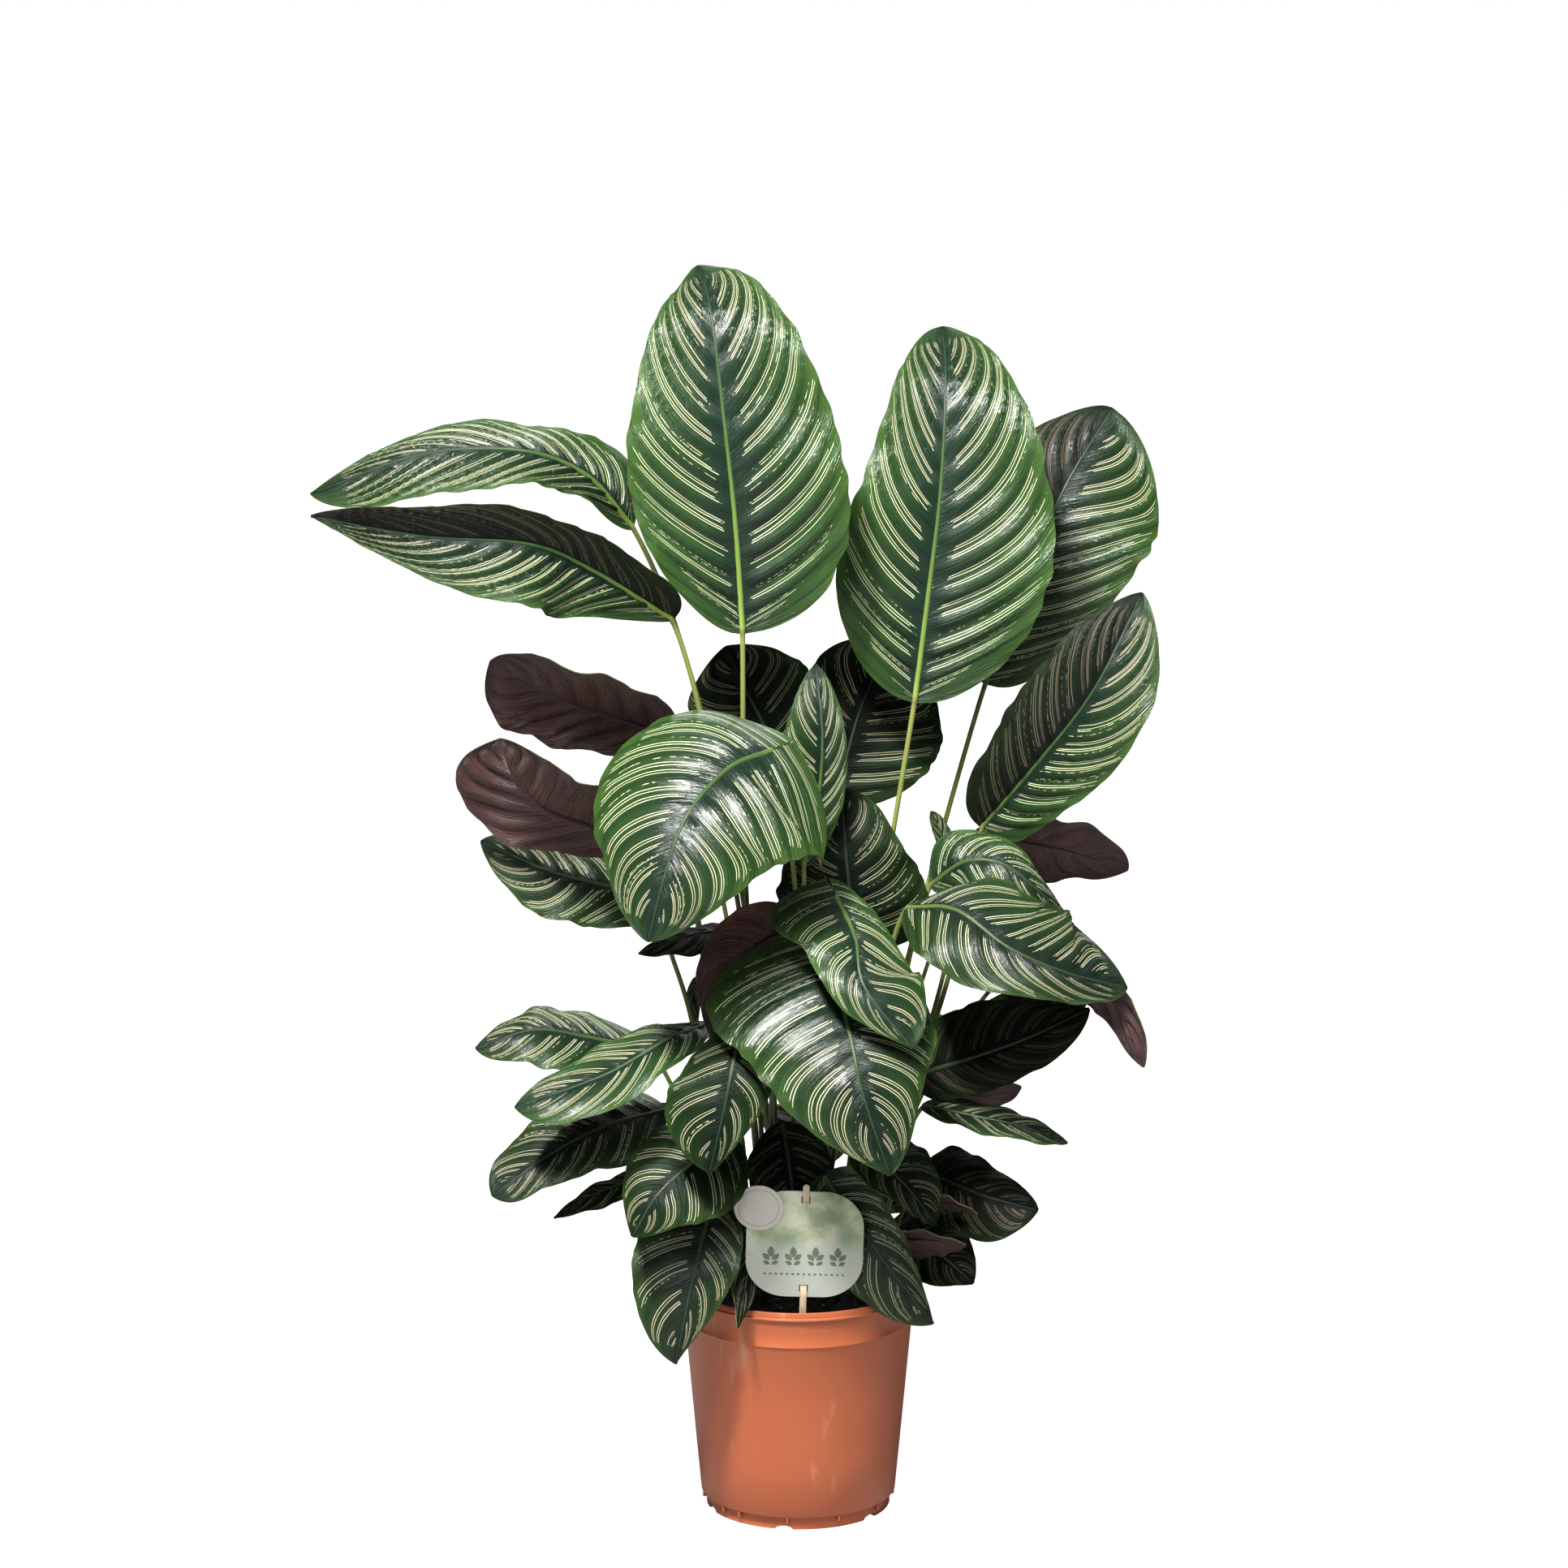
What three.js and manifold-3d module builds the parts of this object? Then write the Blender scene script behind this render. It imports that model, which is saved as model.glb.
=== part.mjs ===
// Potted pinstripe calathea: a clump of broad leaves on long stalks, in soil, in a plastic nursery pot
// with a printed card on a wooden stick. Millimetres, +Z up, the front towards -Y. The origin is the
// middle of the pot's underside.

import * as THREE from 'three';
import { mergeVertices } from 'three/addons/utils/BufferGeometryUtils.js';
import Module from 'manifold-3d';

const wasm = await Module();
wasm.setup();

// Driving sizes of the pot.
const RIM_RADIUS = 108.5;
const POT_HEIGHT = 213;
const WALL = 2.2;
const LIP_HEIGHT = 7;
const LIP_OVERHANG = 1.6;
const BAND_HEIGHT = 180;
const BAND_PROUD = 1.4;
const FOOT_RADIUS = 83.7;
const FOOT_HEIGHT = 12.5;
const FOOT_STEP = 4.9;
const FLOOR_HEIGHT = 9;
const PAD_RADIUS = 16;
const DRAIN_RADIUS = 6;
const DRAIN_RING_RADIUS = 50;
const DRAINS = 8;
const NOTCH_WIDTH = 16;
const NOTCH_HEIGHT = 3.5;
const NOTCHES = 6;
const NOTCH_TURN = 0.35;
const POT_SIDES = 36;

// Driving sizes of the soil, and the clearance that separate pieces keep to each other.
const SOIL_HEIGHT = 206;
const SOIL_CROWN = 4;
const CLEARANCE = 0.4;
const HOLE_GAP = 0.8;
const STICK_HOLE_GAP = 0.4;

// Driving sizes of a leaf: the blade's thickness at its edge and over the midrib, and the stalk.
const EDGE_THICKNESS = 0.8;
const RIB_THICKNESS = 2.6;
const STALK_FOOT_RADIUS = 4;
const STALK_RADIUS = 2.3;
const STALK_SIDES = 4;
const STALK_STEPS = 7;
const STALK_DEPTH = 22;
const STALK_STRAIGHT = 6;
const SHEATH_SHARE = 0.3;
const RIB_REACH = 14;
const RIB_END_RADIUS = 0.8;
const LONG_BLADE_ROWS = 9;
const SHORT_BLADE_ROWS = 6;
const SHORT_BLADE_LENGTH = 145;
const BLADE_COLUMNS = [-1, -0.55, 0, 0.55, 1];
const WIDTH_STATIONS = [0.12, 0.37, 0.62, 0.87];
const NARROWEST = 1.5;
const WAVES = 3.2;

// Driving sizes of the label: a rounded card with a disc on its corner, threaded on a flat stick.
const CARD_WIDTH = 105;
const CARD_HEIGHT = 105;
const CARD_CORNER = 36;
const CARD_THICKNESS = 0.8;
const DISC_RADIUS = 22;
const DISC_OFFSET = [-42, 35];
const SLOT_WIDTH = 8;
const SLOT_HEIGHT = 7;
const SLOT_REACH = 44;
const STICK_WIDTH = 6;
const STICK_THICKNESS = 1.8;
const STICK_TOP = 60;
const STICK_LENGTH = 160;
const STICK_LEVEL = -CARD_THICKNESS / 2 - CLEARANCE - STICK_THICKNESS / 2;
const LABEL_PLACE = [5.5, -106, 278];
const LABEL_LEAN = 1.5;
const LABEL_TILT = 9;

const materials = {
  pot: new THREE.MeshStandardMaterial({ color: 0xc07048, roughness: 0.55, metalness: 0 }),
  soil: new THREE.MeshStandardMaterial({ color: 0x241c17, roughness: 0.95, metalness: 0 }),
  leaf: new THREE.MeshStandardMaterial({ color: 0x35573a, roughness: 0.35, metalness: 0 }),
  card: new THREE.MeshStandardMaterial({ color: 0xdfe2d8, roughness: 0.5, metalness: 0 }),
  stick: new THREE.MeshStandardMaterial({ color: 0xe2d3ba, roughness: 0.7, metalness: 0 }),
};

// The leaves, front ones and side ones as they grow, then those at the back of the clump. root is where
// the stalk leaves the soil, via the points that it bends through, and rib the midrib from the stalk to
// the tip. face is the way that the upper side looks. left and right are the half-widths at the four
// stations, as seen on the upper side with the tip up. fold lifts the two halves into a trough, or each
// by its own angle, curl turns their edges back down, wave is the height of the waves in the edge, lobe
// is how far the two halves reach back past the stalk, and a small tip makes a blunt end.
const LEAVES = [
  { name: 'leaf_tall_left', root: [-12, 0], via: [[-46, -12, 560]],
    rib: [[-50, -20, 824], [-56, -17, 916], [-66, 0, 1008], [-78, 40, 1098], [-90, 104, 1128]],
    face: [0.05, -1, 0.15], left: [58, 90, 72, 30], right: [86, 104, 81, 39], fold: 8, curl: 10,
    wave: 4, lobe: 6, tip: 0.5 },
  { name: 'leaf_tall_right', root: [14, 14], via: [[60, 28, 470]],
    rib: [[105, 40, 747], [116, 42, 838], [127, 56, 932], [132, 95, 1024], [130, 161, 1062]],
    face: [-0.05, -1, 0.15], left: [66, 83, 60, 35], right: [76, 107, 86, 39], fold: 8, curl: 10,
    wave: 4, lobe: 6, tip: 0.5 },
  { name: 'leaf_back_right', root: [30, 36], via: [[95, 90, 470]],
    rib: [[172, 150, 736], [205, 162, 814], [240, 180, 903], [288, 226, 974]],
    face: [-0.1, -1, 0.1], left: [45, 68, 70, 42], right: [45, 75, 97, 72], fold: 6, curl: 12, wave: 4,
    tip: 0.5 },
  { name: 'leaf_right_striped', root: [40, 4], via: [[132, 40, 470]],
    rib: [[167, 40, 627], [214, -9, 698], [262, -29, 769], [306, 1, 851]],
    face: [-0.35, -0.85, 0.3], left: [36, 50, 54, 32], right: [38, 54, 60, 36], fold: [44, 12],
    curl: 12, wave: 3 },
  { name: 'leaf_right_underside', root: [52, 14], via: [[128, 48, 470]],
    rib: [[162, 54, 617], [205, 58, 607], [250, 72, 594], [300, 94, 571]],
    face: [0.1, 0.8, 0.6], left: [25, 42, 44, 26], right: [28, 54, 52, 28], fold: 12, curl: 20,
    wave: 4 },
  { name: 'leaf_front_left_big', root: [0, -14], via: [[2, -34, 520]],
    rib: [[-25, -95, 730], [-62, -128, 722], [-97, -165, 690], [-116, -190, 645], [-132, -205, 585]],
    face: [-0.2, -0.8, 0.6], left: [112, 104, 85, 46], right: [84, 112, 92, 50], fold: 4, curl: 22,
    wave: 2, lobe: 30 },
  { name: 'leaf_upper_left_a', root: [-20, 20], via: [[-50, 34, 560], [-112, 38, 818]],
    rib: [[-149, 12, 910], [-188, -8, 960], [-246, -28, 986], [-333, -38, 984], [-431, -33, 948]],
    face: [-0.05, -0.6, 0.8], left: [16, 28, 40, 36], right: [56, 48, 41, 22], fold: -4, curl: 8,
    wave: 4 },
  { name: 'leaf_upper_left_b', root: [-26, 6], via: [[-54, 8, 560]],
    rib: [[-114, -16, 832], [-182, -54, 884], [-237, -84, 914], [-330, -94, 923], [-428, -76, 937]],
    face: [-0.05, -0.75, 0.65], left: [26, 57, 50, 18], right: [32, 32, 36, 22], fold: [-8, 70],
    curl: 6, wave: 4 },
  { name: 'leaf_left_underside_upper', root: [-42, 22], via: [[-88, 44, 520]],
    rib: [[-112, 4, 720], [-173, -24, 746], [-223, -40, 770], [-274, -35, 797]],
    face: [0.15, 0.85, 0.5], left: [38, 58, 52, 34], right: [34, 50, 54, 50], fold: 8, curl: 18,
    wave: 4 },
  { name: 'leaf_left_underside_lower', root: [-50, -14], via: [[-98, -20, 470], [-120, -18, 545]],
    rib: [[-128, -1, 613], [-188, -28, 645], [-227, -48, 666], [-253, -62, 700], [-264, -68, 735]],
    face: [0.25, 0.8, 0.5], left: [54, 78, 68, 38], right: [28, 54, 60, 46], fold: 8, curl: 16,
    wave: 3 },
  { name: 'leaf_left_striped_low', root: [-52, 2], via: [[-78, 14, 430]],
    rib: [[-98, 26, 557], [-180, 10, 581], [-228, 0, 597], [-285, -4, 624]],
    face: [-0.1, -0.65, 0.75], left: [28, 44, 44, 24], right: [34, 44, 40, 24], fold: 4, curl: 14,
    wave: 3 },
  { name: 'leaf_back_dark', root: [-6, 34], via: [[-4, 48, 430]],
    rib: [[-5, 50, 645], [-28, 72, 705], [-48, 90, 742], [-66, 120, 775]],
    face: [0, -0.95, 0.3], left: [36, 56, 60, 38], right: [42, 58, 60, 38], fold: 8, curl: 14,
    wave: 3 },
  { name: 'leaf_small_upright', root: [10, -2], via: [[14, -24, 440]],
    rib: [[5, -48, 615], [18, -48, 680], [21, -38, 735], [15, -10, 788]],
    face: [0.05, -1, 0.1], left: [20, 37, 36, 19], right: [16, 23, 21, 13], fold: 14, curl: 10,
    wave: 2 },
  { name: 'leaf_back_centre', root: [12, 30], via: [[24, 40, 440]],
    rib: [[34, 62, 646], [45, 80, 686], [58, 102, 725], [85, 146, 775]],
    face: [0, -0.95, 0.35], left: [30, 46, 56, 48], right: [50, 76, 82, 56], fold: 8, curl: 14,
    wave: 3 },
  { name: 'leaf_centre_dark', root: [20, -12], via: [[38, -14, 400]],
    rib: [[45, -20, 527], [46, -34, 577], [42, -36, 625], [38, -10, 675]],
    face: [0, -1, 0.15], left: [48, 66, 56, 30], right: [62, 70, 54, 34], fold: 8, curl: 12, wave: 3 },
  { name: 'leaf_centre_front_upper', root: [8, -32], via: [[18, -44, 440]],
    rib: [[34, -80, 592], [50, -128, 568], [58, -165, 533], [100, -190, 484]],
    face: [0.25, -0.8, 0.55], left: [26, 42, 58, 46], right: [64, 52, 34, 14], fold: 3, curl: 14,
    wave: 2, lobe: 28 },
  { name: 'leaf_right_big', root: [36, -22], via: [[62, -30, 440]],
    rib: [[98, -46, 574], [140, -86, 582], [187, -116, 555], [240, -121, 533], [292, -101, 515]],
    face: [0.1, -0.6, 0.8], left: [48, 74, 84, 82], right: [42, 58, 38, 22], fold: 3, curl: 16,
    wave: 3 },
  { name: 'leaf_right_arching', root: [52, -2], via: [[86, 6, 440]],
    rib: [[120, 6, 582], [150, -10, 607], [184, -22, 607], [218, -27, 581], [248, -8, 547]],
    face: [0.15, -0.7, 0.7], left: [38, 36, 22, 8], right: [26, 36, 26, 12], fold: 0, curl: 14,
    wave: 2 },
  { name: 'leaf_small_silver', root: [42, 22], via: [[100, 40, 440]],
    rib: [[140, 50, 580], [131, 54, 610], [120, 58, 636]],
    face: [0.6, -0.8, 0.1], left: [5, 9, 9, 6], right: [6, 10, 10, 7], fold: 14, curl: 0, wave: 0 },
  { name: 'leaf_front_centre_big', root: [25, -44], via: [[25, -42, 330]],
    rib: [[30, -112, 535], [45, -165, 490], [56, -195, 445], [80, -208, 373]],
    face: [0.05, -0.85, 0.5], left: [58, 78, 66, 36], right: [118, 96, 73, 32], fold: 3, curl: 14,
    wave: 2, lobe: 50 },
  { name: 'leaf_right_black', root: [60, -12], via: [[84, -12, 330]],
    rib: [[105, -14, 408], [155, -32, 430], [206, -36, 450], [262, -18, 472]],
    face: [0.05, -0.85, 0.5], left: [42, 50, 42, 18], right: [28, 34, 32, 20], fold: 4, curl: 12,
    wave: 3 },
  { name: 'leaf_right_behind_black', root: [64, 18], via: [[95, 24, 330]],
    rib: [[125, 30, 416], [170, 25, 438], [215, 21, 456], [262, 24, 468]],
    face: [0, -0.7, 0.7], left: [26, 34, 30, 18], right: [20, 28, 26, 16], fold: 4, curl: 14, wave: 3 },
  { name: 'leaf_right_pink_low', root: [70, 4], via: [[90, 14, 310]],
    rib: [[110, 16, 389], [140, 8, 387], [170, 0, 385], [202, 2, 393]],
    face: [0, 0.75, 0.65], left: [16, 26, 24, 15], right: [16, 28, 26, 16], fold: 8, curl: 14,
    wave: 2 },
  { name: 'leaf_right_droop_underside', root: [56, 34], via: [[130, 68, 400]],
    rib: [[206, 52, 498], [246, 46, 488], [288, 38, 460], [314, 30, 403]],
    face: [0.6, 0.6, 0.55], left: [20, 34, 32, 18], right: [20, 36, 38, 24], fold: 8, curl: 14,
    wave: 2 },
  { name: 'leaf_right_low_narrow', root: [54, -28], via: [[84, -30, 320]],
    rib: [[114, -32, 385], [160, -52, 381], [203, -62, 374], [242, -58, 358]],
    face: [0.05, -0.25, 0.97], left: [20, 22, 20, 13], right: [18, 28, 28, 16], fold: 14, curl: 10,
    wave: 2 },
  { name: 'leaf_low_right', root: [82, 0], via: [[95, 2, 262]],
    rib: [[110, 0, 312], [132, -16, 310], [170, -40, 302], [216, -56, 294]],
    face: [0.3, -0.8, 0.5], left: [36, 40, 33, 19], right: [20, 36, 43, 30], fold: 4, curl: 14,
    wave: 3 },
  { name: 'leaf_low_right_dark', root: [70, -22], via: [[76, -22, 235]],
    rib: [[84, -16, 264], [110, -22, 256], [136, -38, 240], [158, -48, 222]],
    face: [0.3, -0.85, 0.4], left: [22, 37, 33, 17], right: [18, 34, 32, 14], fold: 4, curl: 10,
    wave: 2 },
  { name: 'leaf_low_pink_a', root: [72, -34], via: [[86, -38, 262]],
    rib: [[100, -46, 300], [120, -56, 304], [140, -64, 303], [161, -70, 295]],
    face: [0.3, 0.6, 0.75], left: [12, 18, 15, 8], right: [10, 16, 13, 7], fold: 6, curl: 10, wave: 2 },
  { name: 'leaf_low_pink_b', root: [52, -58], via: [[62, -56, 236]],
    rib: [[76, -52, 262], [100, -64, 270], [125, -78, 273], [150, -88, 272]],
    face: [0.3, 0.6, 0.75], left: [22, 30, 25, 14], right: [14, 24, 24, 13], fold: 6, curl: 14,
    wave: 2 },
  { name: 'leaf_low_right_glossy', root: [36, -46], via: [[42, -52, 290]],
    rib: [[50, -64, 360], [75, -95, 350], [100, -115, 330], [122, -122, 302]],
    face: [0.25, -0.75, 0.6], left: [30, 40, 36, 20], right: [16, 26, 20, 11], fold: 10, curl: 12,
    wave: 2 },
  { name: 'leaf_over_rim_right', root: [28, -60], via: [[31, -74, 280]],
    rib: [[24, -80, 332], [44, -88, 303], [79, -96, 256], [121, -106, 203]],
    face: [-0.35, -0.9, 0.25], left: [30, 33, 28, 12], right: [34, 48, 46, 30], fold: 3, curl: 8,
    wave: 2 },
  { name: 'leaf_behind_label', root: [-2, -34], via: [[-8, -34, 300]],
    rib: [[-14, -40, 369], [-9, -58, 343], [-4, -66, 306], [0, -68, 266]],
    face: [0, -0.9, 0.4], left: [24, 38, 36, 22], right: [24, 38, 36, 22], fold: 4, curl: 8, wave: 2 },
  { name: 'leaf_over_rim_left', root: [-46, -52], via: [[-58, -64, 262]],
    rib: [[-76, -77, 311], [-86, -102, 282], [-97, -120, 238], [-110, -127, 172]],
    face: [-0.1, -0.9, 0.4], left: [28, 38, 34, 13], right: [33, 56, 56, 36], fold: 6, curl: 8,
    wave: 2 },
  { name: 'leaf_left_third', root: [-40, -38], via: [[-50, -48, 300]],
    rib: [[-60, -76, 370], [-92, -112, 358], [-125, -136, 334], [-148, -148, 298]],
    face: [-0.2, -0.85, 0.5], left: [38, 54, 47, 23], right: [42, 50, 43, 20], fold: 3, curl: 12,
    wave: 2 },
  { name: 'leaf_left_second', root: [-30, -32], via: [[-40, -46, 360]],
    rib: [[-50, -102, 483], [-58, -144, 457], [-66, -164, 420], [-79, -174, 365]],
    face: [-0.05, -0.85, 0.5], left: [24, 38, 33, 15], right: [26, 42, 54, 42], fold: 3, curl: 12,
    wave: 2 },
  { name: 'leaf_far_left_top', root: [-62, 4], via: [[-96, -4, 350]],
    rib: [[-135, -14, 432], [-190, -34, 450], [-238, -46, 460], [-290, -46, 443]],
    face: [-0.1, -0.5, 0.87], left: [26, 44, 40, 24], right: [34, 42, 36, 20], fold: 3, curl: 14,
    wave: 3 },
  { name: 'leaf_left_glossy', root: [-42, -24], via: [[-54, -38, 370]],
    rib: [[-80, -60, 470], [-116, -95, 466], [-172, -120, 440], [-252, -132, 413]],
    face: [-0.2, -0.4, 0.9], left: [18, 30, 40, 38], right: [22, 36, 46, 30], fold: 5, curl: 12,
    wave: 2 },
  { name: 'leaf_left_low_dark', root: [-58, -20], via: [[-84, -28, 320]],
    rib: [[-120, -42, 384], [-176, -75, 378], [-226, -95, 356], [-274, -106, 323]],
    face: [-0.25, -0.6, 0.75], left: [28, 44, 33, 23], right: [54, 60, 46, 36], fold: 3, curl: 12,
    wave: 3 },
  { name: 'leaf_left_small', root: [-72, -8], via: [[-94, -20, 285]],
    rib: [[-124, -34, 325], [-155, -50, 319], [-187, -60, 309], [-220, -66, 290]],
    face: [-0.1, -0.5, 0.85], left: [12, 18, 17, 8], right: [8, 13, 12, 6], fold: 3, curl: 10,
    wave: 2 },
  { name: 'leaf_left_edge_on', root: [-18, -8], via: [[-22, -14, 400]],
    rib: [[-34, -26, 544], [-70, -42, 551], [-106, -54, 548], [-143, -64, 536]],
    face: [0, -0.15, 1], left: [20, 32, 30, 16], right: [20, 28, 26, 14], fold: 4, curl: 14, wave: 2 },
  { name: 'leaf_centre_underside', root: [-20, -24], via: [[-24, -30, 400]],
    rib: [[-4, -50, 556], [-36, -72, 546], [-66, -87, 514], [-76, -95, 464]],
    face: [0.35, 0.85, 0.2], left: [30, 40, 30, 13], right: [30, 36, 30, 15], fold: 4, curl: 14,
    wave: 3 },
  { name: 'leaf_left_sliver', root: [-32, -4], via: [[-44, 4, 398]],
    rib: [[-78, 8, 499], [-92, 0, 489], [-97, -4, 470], [-95, -4, 448]],
    face: [-0.8, -0.5, 0.3], left: [7, 13, 13, 9], right: [10, 13, 10, 6], fold: 4, curl: 10, wave: 0 },
  { name: 'leaf_over_rim_centre', root: [-32, -48], via: [[-31, -44, 262]],
    rib: [[-30, -42, 296], [-38, -68, 276], [-46, -96, 244], [-54, -126, 206]],
    face: [0.7, -0.7, 0.2], left: [34, 44, 26, 8], right: [30, 36, 24, 9], fold: 4, curl: 8, wave: 2 },
  { name: 'leaf_back_left', root: [-30, 36], via: [[-50, 66, 420]],
    rib: [[-72, 92, 556], [-108, 140, 600], [-146, 188, 612], [-184, 220, 596]],
    face: [-0.4, 0.55, 0.75], left: [40, 60, 54, 30], right: [40, 60, 54, 30], fold: 6, curl: 14,
    wave: 3 },
  { name: 'leaf_back_middle', root: [4, 48], via: [[8, 84, 360]],
    rib: [[12, 112, 470], [20, 162, 500], [30, 218, 490], [36, 268, 440]],
    face: [0.1, 0.5, 0.85], left: [44, 66, 60, 32], right: [44, 66, 60, 32], fold: 6, curl: 14,
    wave: 3 },
  { name: 'leaf_back_right_low', root: [42, 44], via: [[56, 66, 310]],
    rib: [[72, 90, 398], [112, 140, 412], [152, 186, 402], [190, 216, 358]],
    face: [0.45, 0.4, 0.8], left: [32, 50, 46, 24], right: [32, 50, 46, 24], fold: 6, curl: 14,
    wave: 3 },
  { name: 'leaf_back_left_low', root: [-46, 46], via: [[-48, 62, 280]],
    rib: [[-54, 82, 330], [-90, 126, 346], [-126, 166, 326], [-152, 192, 276]],
    face: [-0.5, 0.35, 0.8], left: [32, 46, 42, 22], right: [32, 46, 42, 22], fold: 6, curl: 14,
    wave: 3 },
  { name: 'leaf_back_middle_low', root: [-8, 66], via: [[-2, 74, 260]],
    rib: [[4, 88, 306], [14, 136, 332], [20, 188, 312], [26, 232, 250]],
    face: [0.1, 0.5, 0.85], left: [36, 54, 48, 26], right: [36, 54, 48, 26], fold: 6, curl: 14,
    wave: 3 },
  { name: 'leaf_back_right_small', root: [62, 46], via: [[66, 54, 230]],
    rib: [[74, 66, 258], [106, 98, 272], [136, 128, 252], [156, 148, 208]],
    face: [0.5, 0.4, 0.75], left: [24, 36, 32, 17], right: [24, 36, 32, 17], fold: 6, curl: 14,
    wave: 2 },
];

// A closed geometry as a solid for cutting and joining, and back again.
function solid(geometry) {
  const bare = geometry.clone();
  bare.deleteAttribute('normal');
  bare.deleteAttribute('uv');
  const merged = mergeVertices(bare, 1e-4);
  return new wasm.Manifold(new wasm.Mesh({
    numProp: 3,
    vertProperties: new Float32Array(merged.attributes.position.array),
    triVerts: new Uint32Array(merged.index.array),
  }));
}

function geometryOf(body) {
  const cut = body.getMesh();
  const geometry = new THREE.BufferGeometry();
  geometry.setAttribute('position', new THREE.BufferAttribute(new Float32Array(cut.vertProperties), 3));
  geometry.setIndex(new THREE.BufferAttribute(new Uint32Array(cut.triVerts), 1));
  geometry.computeVertexNormals();
  return geometry;
}

function piece(name, geometry, material) {
  const mesh = new THREE.Mesh(geometry, material);
  mesh.name = name;
  return mesh;
}

// The pot's wall leans out from the foot to the rim.
function wallRadius(z) {
  const bottom = FOOT_RADIUS + FOOT_STEP;
  const top = RIM_RADIUS - LIP_OVERHANG;
  return bottom + (top - bottom) * (z - FOOT_HEIGHT) / (POT_HEIGHT - FOOT_HEIGHT);
}

// The pot is one moulding: a lip at the rim, a raised line below it, a foot set in under the wall, and a
// floor with a flat pad in its middle, drain holes and notches under the foot.
function pot() {
  const lipFoot = POT_HEIGHT - LIP_HEIGHT;
  const step = FOOT_HEIGHT + WALL;
  const outline = [
    [0, 0],
    [PAD_RADIUS, 0],
    [PAD_RADIUS + 3, FLOOR_HEIGHT - WALL],
    [FOOT_RADIUS - WALL - 4, FLOOR_HEIGHT - WALL],
    [FOOT_RADIUS - WALL - 2, 0],
    [FOOT_RADIUS, 0],
    [FOOT_RADIUS, FOOT_HEIGHT],
    [wallRadius(FOOT_HEIGHT), FOOT_HEIGHT],
    [wallRadius(BAND_HEIGHT - 2), BAND_HEIGHT - 2],
    [wallRadius(BAND_HEIGHT) + BAND_PROUD, BAND_HEIGHT],
    [wallRadius(BAND_HEIGHT + 3), BAND_HEIGHT + 3],
    [wallRadius(lipFoot), lipFoot],
    [RIM_RADIUS, lipFoot],
    [RIM_RADIUS, POT_HEIGHT - 1],
    [RIM_RADIUS - 1, POT_HEIGHT],
    [wallRadius(POT_HEIGHT) - WALL, POT_HEIGHT],
    [wallRadius(step) - WALL, step],
    [FOOT_RADIUS - WALL, step],
    [FOOT_RADIUS - WALL - 3, FLOOR_HEIGHT],
    [0, FLOOR_HEIGHT],
  ];
  const profile = outline.map(([radius, height]) => new THREE.Vector2(radius, height));
  const turned = new THREE.LatheGeometry(profile, POT_SIDES);
  turned.rotateX(Math.PI / 2);
  let body = solid(turned);
  for (let i = 0; i < DRAINS; i += 1) {
    const angle = (i + 0.5) * 2 * Math.PI / DRAINS;
    const drain = new THREE.CylinderGeometry(DRAIN_RADIUS, DRAIN_RADIUS, 2 * FLOOR_HEIGHT, 10);
    drain.rotateX(Math.PI / 2);
    drain.translate(DRAIN_RING_RADIUS * Math.cos(angle), DRAIN_RING_RADIUS * Math.sin(angle), FLOOR_HEIGHT);
    body = body.subtract(solid(drain));
  }
  for (let i = 0; i < NOTCHES; i += 1) {
    const notch = new THREE.BoxGeometry(20, NOTCH_WIDTH, 2 * NOTCH_HEIGHT);
    notch.translate(FOOT_RADIUS, 0, 0);
    notch.rotateZ((i + NOTCH_TURN) * 2 * Math.PI / NOTCHES);
    body = body.subtract(solid(notch));
  }
  return geometryOf(body);
}

// The soil fills the pot up to just under its rim, with a plain hole for each stalk and for the stick.
function soil() {
  const gap = WALL + CLEARANCE;
  const step = FOOT_HEIGHT + gap;
  const outline = [
    [0, FLOOR_HEIGHT + CLEARANCE],
    [FOOT_RADIUS - gap - 4, FLOOR_HEIGHT + CLEARANCE],
    [FOOT_RADIUS - gap, step],
    [wallRadius(step) - gap, step],
    [wallRadius(SOIL_HEIGHT - SOIL_CROWN) - gap, SOIL_HEIGHT - SOIL_CROWN],
    [wallRadius(SOIL_HEIGHT) - gap - 18, SOIL_HEIGHT],
    [0, SOIL_HEIGHT],
  ];
  const profile = outline.map(([radius, height]) => new THREE.Vector2(radius, height));
  const turned = new THREE.LatheGeometry(profile, POT_SIDES);
  turned.rotateX(Math.PI / 2);
  let body = solid(turned);
  for (const leaf of LEAVES) {
    body = body.subtract(solid(stalk(leaf, ribOf(leaf), HOLE_GAP)));
  }
  const slotLength = STICK_LENGTH + 2 * STICK_HOLE_GAP;
  const slot = new THREE.BoxGeometry(
    STICK_WIDTH + 2 * STICK_HOLE_GAP,
    STICK_THICKNESS + 2 * STICK_HOLE_GAP,
    slotLength,
  );
  slot.translate(0, STICK_LEVEL, STICK_TOP - STICK_LENGTH / 2);
  place(slot);
  return geometryOf(body.subtract(solid(slot)));
}

function closedBody(positions, index) {
  const geometry = new THREE.BufferGeometry();
  geometry.setAttribute('position', new THREE.Float32BufferAttribute(positions, 3));
  geometry.setIndex(index);
  return geometry;
}

// Half the blade's width at a place from 0 at the stalk to 1 at the tip: the four stations give the
// shape, between a round base and a drawn-out tip.
function halfWidth(widths, t, point = 0.7) {
  const ends = (s) => Math.sqrt(s) * (1 - s) ** point;
  let sum = 0;
  WIDTH_STATIONS.forEach((station, i) => {
    let weight = widths[i] / ends(station);
    WIDTH_STATIONS.forEach((other, j) => {
      if (j !== i) weight *= (t - other) / (station - other);
    });
    sum += weight;
  });
  return Math.max(NARROWEST, sum * ends(t));
}

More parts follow.
